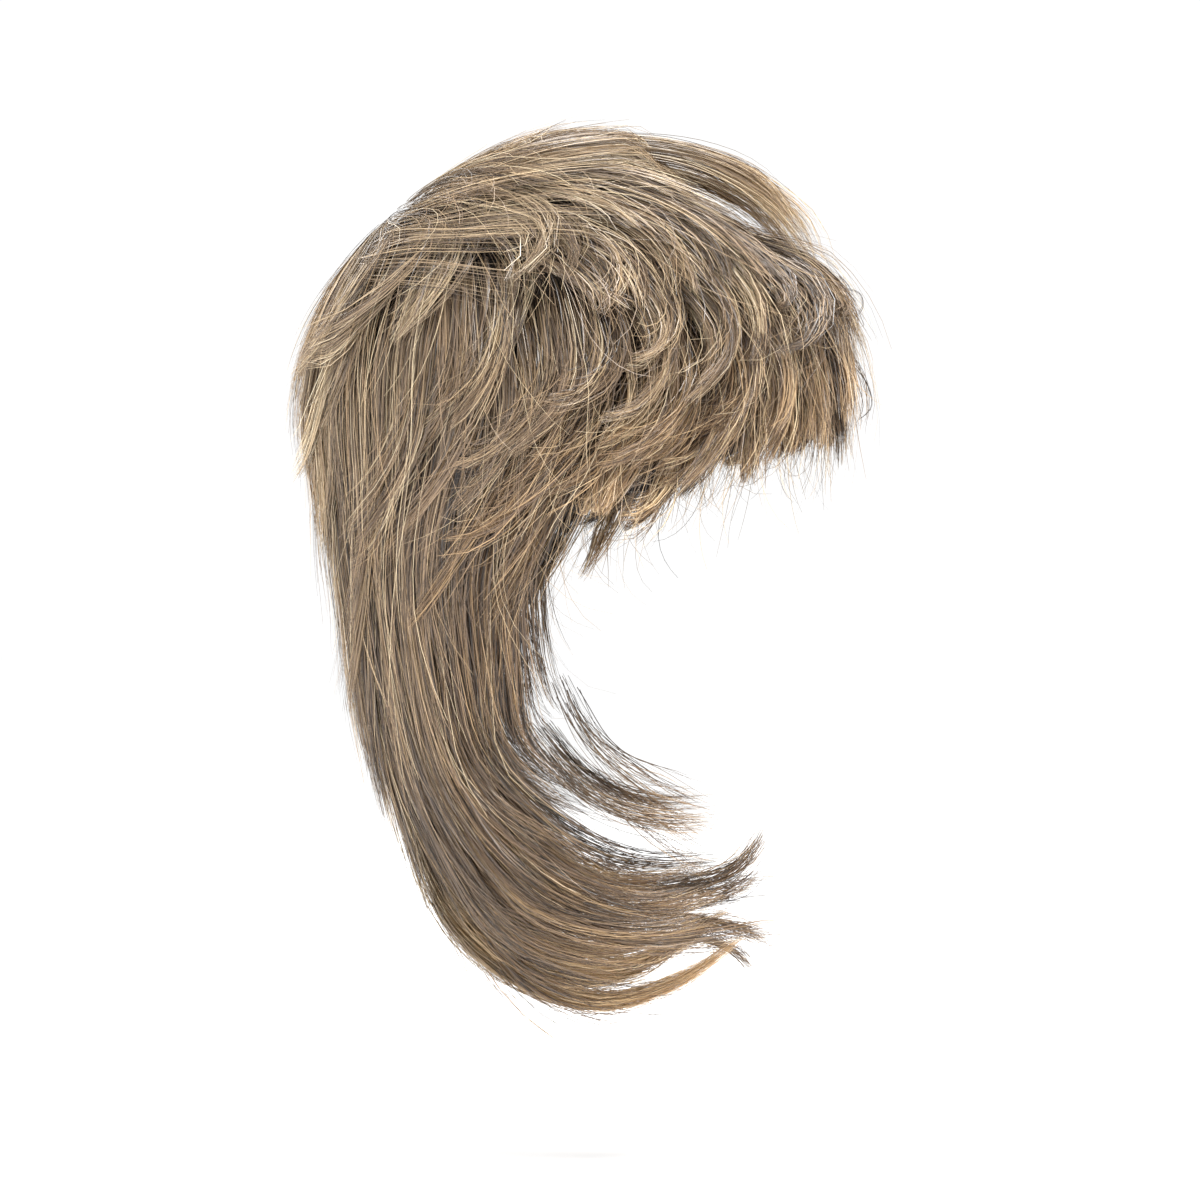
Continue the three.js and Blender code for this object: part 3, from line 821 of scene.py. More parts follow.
@dataclass
class Strands:
    """Single strands, each a row of points with a width, and what their colour is worked out from.

    Attributes:
        points: Strands by points by 3.
        across: Directions across each strand's ribbon.
        widths: Half widths, strands by points.
        tone: Shade of each strand, from 0, dark, to 1, light.
        depth: How deep each strand lies in its layer, from 0, deep, to 1, on top; the material paints shade
            on the deep ones.
    """

    points: np.ndarray
    across: np.ndarray
    widths: np.ndarray
    tone: np.ndarray
    depth: np.ndarray

    def mesh(self, name: str) -> bpy.types.Object:
        """Makes one mesh object of ribbons.

        Args:
            name: The object's name.

        Returns:
            The object, linked to the scene.
        """
        count, knots = self.points.shape[:2]
        offset = self.across * self.widths[:, :, None]
        corners = np.stack([self.points - offset, self.points + offset], axis=2)
        number = np.arange(count * knots * 2).reshape(count, knots, 2)
        quads = np.stack(
            [number[:, :-1, 0], number[:, :-1, 1], number[:, 1:, 1], number[:, 1:, 0]], axis=-1
        ).reshape(-1, 4)
        data = bpy.data.meshes.new(name)
        data.vertices.add(count * knots * 2)
        data.vertices.foreach_set("co", corners.astype(np.float32).ravel())
        data.loops.add(len(quads) * 4)
        data.loops.foreach_set("vertex_index", quads.astype(np.int32).ravel())
        data.polygons.add(len(quads))
        data.polygons.foreach_set("loop_start", np.arange(0, len(quads) * 4, 4, dtype=np.int32))
        data.polygons.foreach_set("use_smooth", np.ones(len(quads), dtype=bool))
        # Place along the strand and depth in the layer, from which the material paints shade at the roots and
        # deep in the layers.
        along = np.broadcast_to(np.linspace(0, 1, knots)[None, :, None], (count, knots, 2))
        self._attribute(data, "along", along)
        self._attribute(data, "tone", np.broadcast_to(self.tone[:, None, None], along.shape))
        self._attribute(data, "depth", np.broadcast_to(self.depth[:, None, None], along.shape))
        data.update(calc_edges=True)
        piece = bpy.data.objects.new(name, data)
        bpy.context.scene.collection.objects.link(piece)
        return piece

    @staticmethod
    def _attribute(data: bpy.types.Mesh, name: str, values: np.ndarray) -> None:
        """Stores one number for each vertex under a name."""
        layer = data.attributes.new(name, "FLOAT", "POINT")
        layer.data.foreach_set("value", np.ascontiguousarray(values, dtype=np.float32).ravel())


@dataclass
class LockPanel:
    """One panel of locks: a stretch of one ring, made of wisps of strands.

    Attributes:
        ring: The ring.
        order: Its number, from the whorl out.
        name: The panel's own name.
        bearing_from: Where it starts, in degrees from the face side.
        bearing_to: Where it ends.
        region: How its locks are shaped.
        size: The size of its strands.
        tufted_from: Angles from straight back between which the back's locks turn into the sides' locks.
        nape_share: How far those of the nape do so.
    """

    ring: Ring
    order: int
    name: str
    bearing_from: float
    bearing_to: float
    region: Region
    size: StrandSize
    tufted_from: tuple[float, float] = (24.0, 50.0)
    nape_share: float = 0.4

    @property
    def node(self) -> str:
        """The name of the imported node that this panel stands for."""
        return f"{self.ring.name}_locks_{self.name}"

    @property
    def style(self) -> LockStyle:
        """How its locks are shaped."""
        return STYLES[self.region]

    def scatter(self, rng: np.random.Generator, form: HeadForm, end: float, spacing: float) -> tuple:
        """Spreads roots evenly over the panel's part of the cap.

        Args:
            rng: Source of the draws.
            form: The form.
            end: Share of the way to the cap's edge at which the ring's roots end.
            spacing: Distance between two roots.

        Returns:
            The bearings and the shares of the way of the roots.
        """
        start = self.ring.start if self.order else 0.0
        span = self.bearing_to - self.bearing_from
        around = np.linspace(self.bearing_from, self.bearing_to, WIDTH_SPOTS)
        arc = form.point(around, np.full(WIDTH_SPOTS, (start + end) / 2))
        straight = np.full(DEPTH_SPOTS, (self.bearing_from + self.bearing_to) / 2)
        down = form.point(straight, np.linspace(start, end, DEPTH_SPOTS))
        width = np.linalg.norm(np.diff(arc, axis=0), axis=1).sum()
        depth = np.linalg.norm(np.diff(down, axis=0), axis=1).sum()
        count = max(FEWEST, int(round(width * depth / spacing**2)))
        bearings = self.bearing_from + span * ((np.arange(count) + 0.5) / count)
        golden = (np.arange(count) * GOLDEN + rng.random()) % 1.0
        shares = np.sqrt(start**2 + (end**2 - start**2) * golden)
        jitter = rng.normal(0, ROOT_STRAY, count) * span * spacing / width
        return bearings + jitter, shares

    def build(self, rng: np.random.Generator, comb: Comb, layering: Layering, end: float) -> bpy.types.Object:
        """Makes the panel's strands.

        Args:
            rng: Source of the draws.
            comb: How the hair is combed.
            layering: How the layers lie.
            end: Share of the way to the cap's edge at which the ring's roots end.

        Returns:
            The piece.
        """
        form, style, size = comb.form, self.style, self.size
        knots, reaches = layering.cut.teeth(form, self.ring, self.order, self.bearing_from, self.bearing_to)

        def grown(bearings: np.ndarray, shares: np.ndarray) -> np.ndarray:
            """Returns how long hair is that starts at the given places."""
            past = form.way_out(bearings, np.maximum(shares - self.ring.start, 0.0))
            whole = np.interp(bearings, knots, reaches)
            return np.maximum(whole - past, 0.35 * whole)

        lock_bearings, lock_shares = self.scatter(rng, form, end, style.lock_spacing)
        locks = len(lock_bearings)
        behind = smoothstep(np.abs(lock_bearings - 180), *self.tufted_from)
        tufted = behind * {Region.BACK: 1.0, Region.NAPE: self.nape_share}.get(self.region, 0.0)
        turned = behind * (self.region is Region.BACK)
        back = self._mixed("sweep", turned) * np.sign(np.sin(np.radians(lock_bearings)) + 1e-9)
        lock_turns = back + rng.normal(0, style.stray_turn, locks)
        if self.region is Region.SIDE:
            lock_turns *= np.minimum(1.0, (size.short_lock / grown(lock_bearings, lock_shares)) ** 2)
        lock_roots = form.point(lock_bearings, lock_shares)

        bearings, shares = self.scatter(rng, form, end, size.wisp_spacing)
        roots = form.point(bearings, shares)
        gaps = ((roots[:, None] - lock_roots[None]) ** 2).sum(-1)
        owner = gaps.argmin(1)
        uneven = 1 + style.uneven * rng.uniform(-1, 1, locks)
        lengths = grown(bearings, shares) * uneven[owner] * rng.uniform(0.9, 1.04, len(roots))
        paces = int(np.ceil(lengths.max() / size.pace))
        turns = lock_turns[owner] + rng.normal(0, 0.1, len(roots))
        lines = trace_lines(comb, layering, np.full(len(roots), self.order), roots, lengths, turns, paces)
        lock_lengths = grown(lock_bearings, lock_shares) * uneven
        order = np.full(locks, self.order)
        leaders = trace_lines(comb, layering, order, lock_roots, lock_lengths, lock_turns, paces)
        self._gather(form, lines, leaders, owner, self._mixed("gather", tufted))
        strands = self._strands(rng, layering, lines, owner, tufted)
        return strands.mesh(f"hair_{self.ring.name}_{self.name}")

    def _mixed(self, name: str, tufted: np.ndarray) -> np.ndarray:
        """Returns a value of the style for each lock, moved by a share towards that of the sides."""
        own = getattr(self.style, name)
        return own + (getattr(STYLES[Region.SIDE], name) - own) * tufted

    @staticmethod
    def _gather(
        form: HeadForm, lines: HairLines, leaders: HairLines, owner: np.ndarray, gather: np.ndarray
    ) -> None:
        """Draws the ends of each lock's wisps towards its middle line."""
        knots = lines.points.shape[1]
        pull = (gather[owner][:, None] * np.linspace(0, 1, knots) ** 1.1)[..., None]
        drawn = lines.points * (1 - pull) + leaders.points[owner] * pull
        shape = drawn.shape
        lines.points = form.settle(drawn.reshape(-1, 3), 3).reshape(shape)
        lines.normals = unit(form.slope(lines.points.reshape(-1, 3))).reshape(shape)
        way = np.gradient(lines.points, axis=1)
        lines.sides = unit(np.cross(lines.normals, way))

    def _strands(
        self,
        rng: np.random.Generator,
        layering: Layering,
        lines: HairLines,
        owner: np.ndarray,
        tufted: np.ndarray,
    ) -> Strands:
        """Grows the strands of every wisp along its line.

        Args:
            rng: Source of the draws.
            layering: How the layers lie.
            lines: One line for each wisp.
            owner: The lock that each wisp belongs to.
            tufted: How far each lock is shaped like those of the sides, from 0 to 1.

        Returns:
            The strands.
        """
        size, style = self.size, self.style
        locks = len(tufted)
        wisps, knots = lines.points.shape[:2]
        each = size.strands_a_wisp
        wisp = np.repeat(np.arange(wisps), each)
        count = len(wisp)
        segments = max(size.least_segments, int(round(lines.length.max() / size.segment)))
        t = np.linspace(0, 1, segments + 1)[None, :]
        start = rng.uniform(0, 0.05, count)[:, None]
        stop = (1 - 0.3 * rng.random(count) ** 1.6)[:, None]
        along = (start + (stop - start) * t) * (knots - 1)
        low = np.clip(along.astype(int), 0, knots - 2)
        blend = (along - low)[..., None]
        pick = wisp[:, None]

        def read(values: np.ndarray) -> np.ndarray:
            """Reads values of the wisps' lines at the strands' own points."""
            if values.ndim == 2:
                return values[pick, low] * (1 - blend[..., 0]) + values[pick, low + 1] * blend[..., 0]
            return values[pick, low] * (1 - blend) + values[pick, low + 1] * blend

        points, normals, sides = read(lines.points), unit(read(lines.normals)), unit(read(lines.sides))
        full, lying = read(lines.full), read(lines.lying)
        run = (start + (stop - start) * t) * lines.length[wisp][:, None]
        level = np.repeat(rng.random(wisps), each) * size.wisp_level + rng.random(count) * size.own_level
        rise = smoothstep(run, 0, (size.root_run * (size.root_ease - level))[:, None])
        if self.order < 2:
            standing = size.crown_rise * level[:, None]
            rise = standing + (1 - standing) * rise
        body = np.maximum(layering.tip, full * layering.thickness * (1 - size.body_fall * t**2))
        lift = layering.root_lift + rise * lying + level[:, None] * body

        stray = rng.random(count) < style.stray_share
        sideways = rng.normal(0, size.wisp_width * size.wisp_spacing, count)
        wander = np.where(stray, rng.normal(0, size.stray_drift, count), rng.normal(0, size.drift, count))
        wave = rng.normal(0, size.wave, count)[:, None] * np.sin(
            2 * math.pi * (rng.uniform(*size.waves, count)[:, None] * t + rng.random(count)[:, None])
        )
        aside = sideways[:, None] * (1 - style.wisp_gather * t) + wander[:, None] * t**2 + wave * t
        flicks = np.abs(rng.normal(0, self._mixed("flick", tufted)))[owner]
        heaves = rng.uniform(0, self._mixed("heave", tufted))[owner]
        heaved = (heaves[wisp] * (level - size.heave_level))[:, None] * smoothstep(t, *size.heave_over)
        outward = flicks[wisp][:, None] * t**3 + heaved
        strayed = np.where(stray, np.abs(rng.normal(0, size.stray_rise, count)), 0.0)
        outward = outward + strayed[:, None] * t**1.5
        outward = outward + rng.normal(0, size.unevenness, count)[:, None]
        points = points + sides * aside[..., None] + normals * (lift + outward)[..., None]

        roll = rng.uniform(-size.roll, size.roll, count)[:, None, None]
        across = sides * np.cos(roll) + normals * np.sin(roll)
        thinned = np.clip((t - size.taper_from) / size.taper_over, 0, 1) ** size.taper_power
        taper = 1 - (1 - size.tip_share) * thinned
        widths = size.half_width * rng.uniform(*WIDTH_RANGE, count)[:, None] * taper
        lock_tone = rng.normal(0, size.lock_tone_stray, locks)[owner]
        wisp_tone = lock_tone + rng.normal(0, size.wisp_tone_stray, wisps)
        own_tone = wisp_tone[wisp] + rng.normal(0, TONE_STRAY, count)
        # The region's shift paints light and shade into the tone.
        tone = np.clip(size.middle_tone + style.painted_light_shift + own_tone, 0, 1)
        # The height in the layer goes out as depth, for the painted depth shade.
        return Strands(points, across, widths, tone, level)


@dataclass(frozen=True)
class Route:
    """A lock, or a few hairs, that is laid along given places.

    Attributes:
        places: Places along its middle, in millimetres, with Y on the wearer's left.
        hands: 1 for the side as given, -1 for its mirror image.
        count: Number of strands.
        root_spread: How far the strands lie apart at the root, in millimetres.
        tip_spread: The same at the end.
        tone: Middle shade, from 0, dark, to 1, light.
    """

    places: tuple[tuple[float, float, float], ...]
    hands: tuple[int, ...]
    count: int
    root_spread: float
    tip_spread: float
    tone: float = 0.5

    def along(self, t: np.ndarray) -> np.ndarray:
        """Returns the middle of the route, in metres, at shares of its length."""
        spots = np.array(self.places) * MM
        steps = np.linalg.norm(np.diff(spots, axis=0), axis=1)
        marks = np.concatenate([[0.0], np.cumsum(steps)]) / steps.sum()
        curves = [SmoothCurve(tuple(marks), tuple(spots[:, axis])) for axis in range(3)]
        return np.stack([curve.at(t) for curve in curves], axis=-1)


FRONT_ARCHES = (
    Route(
        ((-38, -14, 16), (0, -13, 17), (22, -12, 19.5), (50, -11, 15), (76, -10, 3), (91, -9, -19)),
        (1,),
        300,
        3,
        4,
        0.55,
    ),
    Route(
        ((-10, 4, 15), (24, 4, 20), (50, 2, 15), (74, 0, 4), (94, -2, -14), (99, -4, -30)),
        (1,),
        160,
        3,
        6,
        0.6,
    ),
    Route(((0, 14, 14), (30, 12, 21), (54, 8, 16), (70, 4, 6), (80, 2, -5)), (1,), 24, 2, 7, 0.5),
    Route(
        ((-20, -24, 12), (14, -26, 14), (48, -24, 9), (78, -20, -8), (97, -16, -32)),
        (1, -1),
        150,
        3,
        5,
        0.5,
    ),
)

BROW_LOOPS = (
    Route(
        ((96, -12, -36), (108, -12, -40), (117, -12, -43), (118, -12, -49), (112, -12, -55)),
        (1,),
        4,
        0.4,
        0.8,
        0.0,
    ),
    Route(((112, -8, -70), (120, -8, -80), (122, -8, -90), (113, -8, -98)), (1,), 4, 0.4, 0.8, 0.0),
    Route(((100, 6, -28), (111, 6, -36), (117, 6, -50), (116, 6, -66)), (1,), 5, 1.5, 3, 0.3),
    Route(((104, 2, -60), (116, 2, -72), (121, 2, -88), (118, 2, -101)), (1,), 10, 2, 4, 0.4),
)

TAIL_LOCKS = (
    Route(
        (
            (-66, -30, -250),
            (-54, -40, -296),
            (-27, -52, -321),
            (8, -60, -332),
            (42, -64, -322),
            (66, -64, -305),
        ),
        (1, -1),
        420,
        6,
        1.6,
        0.74,
    ),
    Route(
        ((-72, -22, -230), (-58, -34, -280), (-36, -48, -308), (-4, -58, -323), (34, -62, -318)),
        (1, -1),
        420,
        7,
        4,
        0.8,
    ),
    Route(
        ((-58, -34, -258), (-28, -58, -298), (6, -66, -312), (36, -67, -305), (54, -66, -292)),
        (1, -1),
        110,
        5,
        7,
        0.6,
    ),
    Route(
        ((-46, -44, -240), (-22, -62, -275), (4, -66, -292), (34, -66, -294), (58, -64, -286)),
        (1, -1),
        160,
        7,
        6,
        0.6,
    ),
    Route(((-20, -62, -222), (4, -66, -248), (34, -66, -259), (60, -64, -258)), (1, -1), 90, 4, 5, 0.4),
    Route(((-10, -60, -200), (4, -62, -228), (28, -62, -247), (60, -60, -261)), (1, -1), 26, 5, 9, 0.4),
    Route(((0, -62, -240), (22, -62, -260), (44, -60, -273), (60, -58, -281)), (1, -1), 26, 6, 9, 0.4),
    Route(
        ((-6, -58, -325), (22, -62, -320), (40, -62, -308), (50, -62, -295)),
        (1, -1),
        34,
        1.5,
        5,
        0.5,
    ),
    Route(((30, 62, -296), (54, 63, -294), (71, 62, -285), (82, 60, -269)), (1,), 110, 5, 4, 0.35),
    Route(((34, 62, -300), (56, 63, -301), (70, 62, -296), (80, 60, -287)), (1,), 60, 5, 5, 0.35),
    Route(((30, 62, -312), (56, 63, -312), (73, 63, -316), (86, 62, -323)), (1,), 100, 4, 4, 0.35),
    Route(((34, 62, -318), (58, 63, -320), (70, 63, -326), (78, 62, -335)), (1,), 80, 3, 3, 0.3),
)


@dataclass
class LooseHair:
    """Locks and hairs that are laid one by one over the cut.

    Attributes:
        name: Name of the piece.
        routes: Their routes.
        slot: Their material slot.
        knots: Points along a strand.
        half_width: Half the width of a strand.
    """

    name: str
    routes: tuple[Route, ...]
    slot: Slot
    knots: int = 13
    half_width: float = 0.15 * MM

    def build(self, rng: np.random.Generator) -> bpy.types.Object:
        """Makes the piece.

        Args:
            rng: Source of the draws.

        Returns:
            The piece.
        """
        points, across, widths, tones = [], [], [], []
        for route in self.routes:
            for hand in route.hands:
                made = self._strands(rng, route)
                mirror = np.array([1.0, hand, 1.0])
                points.append(made.points * mirror)
                across.append(made.across * mirror)
                widths.append(made.widths)
                tones.append(made.tone)
        tone = np.concatenate(tones)
        # Loose hair lies near the top, so it gets little painted depth shade.
        top = np.full(len(tone), 0.9)
        strands = Strands(np.concatenate(points), np.concatenate(across), np.concatenate(widths), tone, top)
        return strands.mesh(self.name)

    def _strands(self, rng: np.random.Generator, route: Route) -> Strands:
        """Lays the strands of one route."""
        count = route.count
        t = np.linspace(0, 1, self.knots)[None, :]
        start = rng.uniform(0, 0.3, count)[:, None]
        stop = rng.uniform(0.8, 1.0, count)[:, None]
        place = start + (stop - start) * t
        middle = route.along(place)
        way = unit(np.gradient(middle, axis=1))
        side = unit(np.cross(way, np.array([0.0, 1.0, 0.0])))
        other = np.cross(way, side)
        spread = (route.root_spread + (route.tip_spread - route.root_spread) * place**1.5) * MM
        turns = rng.uniform(0.5, 1.3, count)[:, None] * t + rng.random(count)[:, None]
        wave = 0.25 * np.sin(2 * math.pi * turns)
        aside = (rng.normal(0, 0.5, count)[:, None] + wave) * spread
        deep = (rng.normal(0, 0.5, count)[:, None] - wave) * spread
        points = middle + side * aside[..., None] + other * deep[..., None]
        roll = rng.uniform(-LOOSE_ROLL, LOOSE_ROLL, count)[:, None, None]
        across = other * np.cos(roll) + side * np.sin(roll)
        taper = 1 - 0.75 * np.clip((t - 0.6) / 0.4, 0, 1) ** 1.5
        widths = self.half_width * rng.uniform(*WIDTH_RANGE, count)[:, None] * taper
        tone = np.clip(route.tone + rng.normal(0, TONE_STRAY, count), 0, 1)
        return Strands(points, across, widths, tone, tone)


@dataclass
class Flyaways:
    """Single fine hairs that stand off the cut all over.

    Attributes:
        comb: How the hair is combed.
        layering: How its layers lie.
        count: Number of hairs.
        longest: Length of the longest.
        most_turn: How far their ends turn aside, at most, in radians.
        tail_from: Angles from the face side between which the hairs of the tail begin.
        tail_calm: How much less those turn.
        stand_off: How far their ends stand off the layers, mostly.
        half_width: Half their width.
        paces: Steps along each.
    """

    comb: Comb
    layering: Layering
    count: int = 4100
    longest: float = 150 * MM
    most_turn: float = 1.9
    tail_from: tuple[float, float] = (92.0, 116.0)
    tail_calm: float = 0.8
    stand_off: float = 2.6 * MM
    half_width: float = 0.11 * MM
    paces: int = 10

    def build(self, rng: np.random.Generator) -> bpy.types.Object:
        """Makes the piece.

        Args:
            rng: Source of the draws.

        Returns:
            The piece.
        """
        form, layering, count = self.comb.form, self.layering, self.count
        rings = layering.cut.rings
        order = rng.integers(0, len(rings), count)
        bearings = rng.uniform(0, 360, count)
        starts = np.array([*layering.cut.starts, 1.0])
        shares = starts[order] + (starts[order + 1] - starts[order]) * rng.random(count)
        roots = form.point(bearings, shares)
        whole = np.stack([layering.cut.length(ring, bearings) for ring in rings])[order, np.arange(count)]
        lengths = np.clip(whole * rng.uniform(0.5, 1.0, count), 0.0, self.longest)
        behind = smoothstep(np.abs((bearings + 180) % 360 - 180), *self.tail_from)
        turns = rng.normal(0, 0.5, count) * self.most_turn * (1 - self.tail_calm * behind)
        lines = trace_lines(self.comb, layering, order, roots, lengths, turns, self.paces)
        t = np.linspace(0, 1, self.paces + 1)[None, :]
        off = np.abs(rng.normal(0, self.stand_off, count))[:, None]
        waving = rng.uniform(0.4, 1.2, count)[:, None] * t + rng.random(count)[:, None]
        wave = np.sin(2 * math.pi * waving)
        above = layering.root_lift + lines.lying + layering.thickness
        lift = above + off * (0.2 + 0.8 * t**1.5) + 0.6 * MM * wave
        aside = 2 * MM * wave * t
        points = lines.points + lines.normals * lift[..., None] + lines.sides * aside[..., None]
        roll = rng.uniform(-LOOSE_ROLL, LOOSE_ROLL, count)[:, None, None]
        across = lines.sides * np.cos(roll) + lines.normals * np.sin(roll)
        widths = self.half_width * (1 - 0.6 * t**3) * rng.uniform(0.8, 1.2, count)[:, None]
        tone = np.clip(rng.normal(0.55, 0.3, count), 0, 1)
        return Strands(points, across, widths, tone, np.ones(count)).mesh("hair_flyaways")


@dataclass
class Swirl:
    """Hair that comes from behind the whorl, goes round it and runs forward on both sides.

    Attributes:
        form: The form.
        layering: How the layers lie.
        count: Number of strands on each side.
        from_bearing: Where it starts, in degrees from the face side.
        turn: How far it goes round, in degrees.
        reach: How far from the whorl its strands end, as a share of the way to the cap's edge.
        knots: Points along a strand.
        groups: Number of groups that its strands lie in.
        group_shift: How far a group strays from its bearing, in degrees.
        own_shift: How far one strand strays from its group's, in degrees.
        arch: How high the strands arch in their middle.
        root_sink: How deep their roots are sunk into the hair.
        half_width: Half the width of a strand.
    """

    form: HeadForm
    layering: Layering
    count: int = 430
    from_bearing: float = 135.0
    turn: float = 95.0
    reach: float = 0.6
    knots: int = 16
    groups: int = 26
    group_shift: float = 32.0
    own_shift: float = 5.0
    arch: float = 1.5 * MM
    root_sink: float = 13 * MM
    half_width: float = 0.16 * MM

    def build(self, rng: np.random.Generator) -> bpy.types.Object:
        """Makes the piece.

        Args:
            rng: Source of the draws.

        Returns:
            The piece.
        """
        count = 2 * self.count
        hand = np.repeat([-1.0, 1.0], self.count)[:, None]
        t = np.linspace(0, 1, self.knots)[None, :]
        groups = self.groups
        group = rng.integers(0, groups, count)
        shift = rng.normal(0, self.group_shift, groups)[group] + rng.normal(0, self.own_shift, count)
        first = rng.uniform(0.0, 0.1, groups)[group] + rng.uniform(0, 0.08, count)
        last = self.reach * (rng.uniform(0.6, 1.0, groups)[group] + rng.uniform(-0.05, 0.05, count))
        bearing = hand * (self.from_bearing - shift[:, None] - self.turn * t**0.8)
        share = first[:, None] + (last - first)[:, None] * t**1.3
        spots = self.form.point(bearing.ravel(), share.ravel())
        normals = unit(self.form.slope(spots)).reshape(count, self.knots, 3)
        layering = self.layering
        lying = layering.lie(spots, share.ravel(), np.clip(layering.layer(share.ravel()), 0, None))
        level = rng.random(count)[:, None]
        arch = self.arch * np.sin(math.pi * t) - self.root_sink * (1 - t) ** 3
        body = layering.thickness * (0.2 + 0.9 * level)
        lift = layering.root_lift + lying.reshape(count, -1) + body + arch
        points = spots.reshape(count, self.knots, 3) + normals * lift[..., None]
        way = unit(np.gradient(points, axis=1))
        sides = unit(np.cross(normals, way))
        roll = rng.uniform(-1.2, 1.2, count)[:, None, None]
        across = sides * np.cos(roll) + normals * np.sin(roll)
        widths = self.half_width * rng.uniform(*WIDTH_RANGE, count)[:, None] * (1 - 0.7 * t**4)
        tone = 0.5 + rng.normal(0, 0.12, groups)[group] + rng.normal(0, TONE_STRAY, count)
        tone = np.clip(tone, 0, 1)
        return Strands(points, across, widths, tone, level[:, 0]).mesh("hair_whorl_swirl")


@dataclass
class Coiffure:
    """All the hair of the wig, ring by ring.

    Attributes:
        form: The form that it lies on.
        cut: How long it is.
        size: The size of its strands.
        seed: Seed of all its draws.
    """

    form: HeadForm
    cut: Cut
    size: StrandSize
    seed: int = 4711

    @cached_property
    def comb(self) -> Comb:
        """How the hair is combed."""
        return Comb(self.form)

    @cached_property
    def layering(self) -> Layering:
        """How its layers lie."""
        return Layering(self.form, self.cut)

    def panels(self) -> list[LockPanel]:
        """Lists the panels of every ring.

        Returns:
            The panels, from the whorl out.
        """
        whorl = (("front", -100, 100, Region.CROWN), ("back", 100, 260, Region.BACK))
        crown = (
            ("front", -48, 48, Region.CROWN),
            ("left", 48, 118, Region.SIDE),
            ("back", 118, 242, Region.BACK),
            ("right", 242, 312, Region.SIDE),
        )
        upper = (*crown[:2], ("back", 118, 242, Region.NAPE), crown[3])
        edge = (
            ("fringe", -44, 44, Region.FRINGE),
            ("left", 44, 98, Region.SIDE),
            ("tail_left", 98, 150, Region.TAIL),
            ("tail_back", 150, 210, Region.TAIL),
            ("tail_right", 210, 262, Region.TAIL),
            ("right", 262, 316, Region.SIDE),
        )
        found = []
        stretches_of_rings = (whorl, crown, upper, edge, edge, edge)
        for order, (ring, stretches) in enumerate(zip(self.cut.rings, stretches_of_rings)):
            for name, start, stop, region in stretches:
                found.append(LockPanel(ring, order, name, start, stop, region, self.size))
        return found

    def build(self, finishes: dict[Slot, bpy.types.Material]) -> int:
        """Makes every panel and dresses it.

        Args:
            finishes: The material of each slot.

        Returns:
            The number of triangles of all the hair.
        """
        ends = (*self.cut.starts[1:], 1.0)
        total = 0
        for number, panel in enumerate(self.panels()):
            rng = np.random.default_rng(self.seed + number)
            piece = panel.build(rng, self.comb, self.layering, ends[panel.order])
            piece.data.materials.append(finishes[panel.ring.slot])
            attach(piece, "root")
            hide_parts(panel.node)
            total += self._counted(piece)
        rng = np.random.default_rng(self.seed - 1)
        extras = (
            (Swirl(self.form, self.layering).build(rng), Slot.LIGHT),
            (LooseHair("hair_front_arches", FRONT_ARCHES, Slot.LIGHT).build(rng), Slot.LIGHT),
            (LooseHair("hair_brow_loops", BROW_LOOPS, Slot.DARK).build(rng), Slot.DARK),
            (LooseHair("hair_tail_locks", TAIL_LOCKS, Slot.DARK).build(rng), Slot.DARK),
            (Flyaways(self.comb, self.layering).build(rng), Slot.MIDDLE),
        )
        for piece, slot in extras:
            piece.data.materials.append(finishes[slot])
            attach(piece, "root")
            total += self._counted(piece)
        return total

    @staticmethod
    def _counted(piece: bpy.types.Object) -> int:
        """Returns the number of a piece's triangles and reports it."""
        triangles = 2 * len(piece.data.polygons)
        LOG.info("%s: %d triangles", piece.name, triangles)
        return triangles


@dataclass(frozen=True)
class Shade:
    """A colour in linear light.

    Attributes:
        red: Red.
        green: Green.
        blue: Blue.
    """

    red: float
    green: float
    blue: float

    @classmethod
    def hexed(cls, code: int) -> Shade:
        """Returns the shade of a colour written in the usual six hexadecimal digits."""
        parts = [((code >> shift) & 255) / 255 for shift in (16, 8, 0)]
        return cls(*(p / 12.92 if p <= 0.04045 else ((p + 0.055) / 1.055) ** 2.4 for p in parts))

    @property
    def rgba(self) -> tuple[float, float, float, float]:
        """The colour with an alpha of 1."""
        return (self.red, self.green, self.blue, 1.0)


class ShaderBench:
    """Places and joins the nodes of one node tree."""

    def __init__(self, tree: bpy.types.NodeTree) -> None:
        """Keeps the tree.

        Args:
            tree: The node tree that is worked on.
        """
        self.tree = tree

    def node(self, kind: str, **settings: object) -> bpy.types.Node:
        """Adds a node.

        Args:
            kind: Its type.
            settings: Properties that are set on it.

        Returns:
            The node.
        """
        made = self.tree.nodes.new(kind)
        for key, value in settings.items():
            setattr(made, key, value)
        return made

    def join(self, source: bpy.types.NodeSocket, target: bpy.types.NodeSocket) -> None:
        """Joins two sockets."""
        self.tree.links.new(source, target)

    def math(self, operation: str, first: object, second: object = 0.0) -> bpy.types.NodeSocket:
        """Adds a sum of two values.

        Args:
            operation: The kind of sum.
            first: A number or a socket.
            second: A number or a socket.

        Returns:
            The result's socket.
        """
        made = self.node("ShaderNodeMath", operation=operation)
        for socket, value in zip(made.inputs, (first, second)):
            if isinstance(value, bpy.types.NodeSocket):
                self.join(value, socket)
            else:
                socket.default_value = value
        return made.outputs[0]

    def ramp(self, factor: bpy.types.NodeSocket, stops: list[tuple[float, Shade]]) -> bpy.types.NodeSocket:
        """Adds a colour ramp.

        Args:
            factor: What is read along the ramp.
            stops: Places along it and the shades there.

        Returns:
            The colour's socket.
        """
        made = self.node("ShaderNodeValToRGB")
        elements = made.color_ramp.elements
        while len(elements) < len(stops):
            elements.new(0.5)
        for element, (place, shade) in zip(elements, stops):
            element.position = place
            element.color = shade.rgba
        self.join(factor, made.inputs["Fac"])
        return made.outputs["Color"]


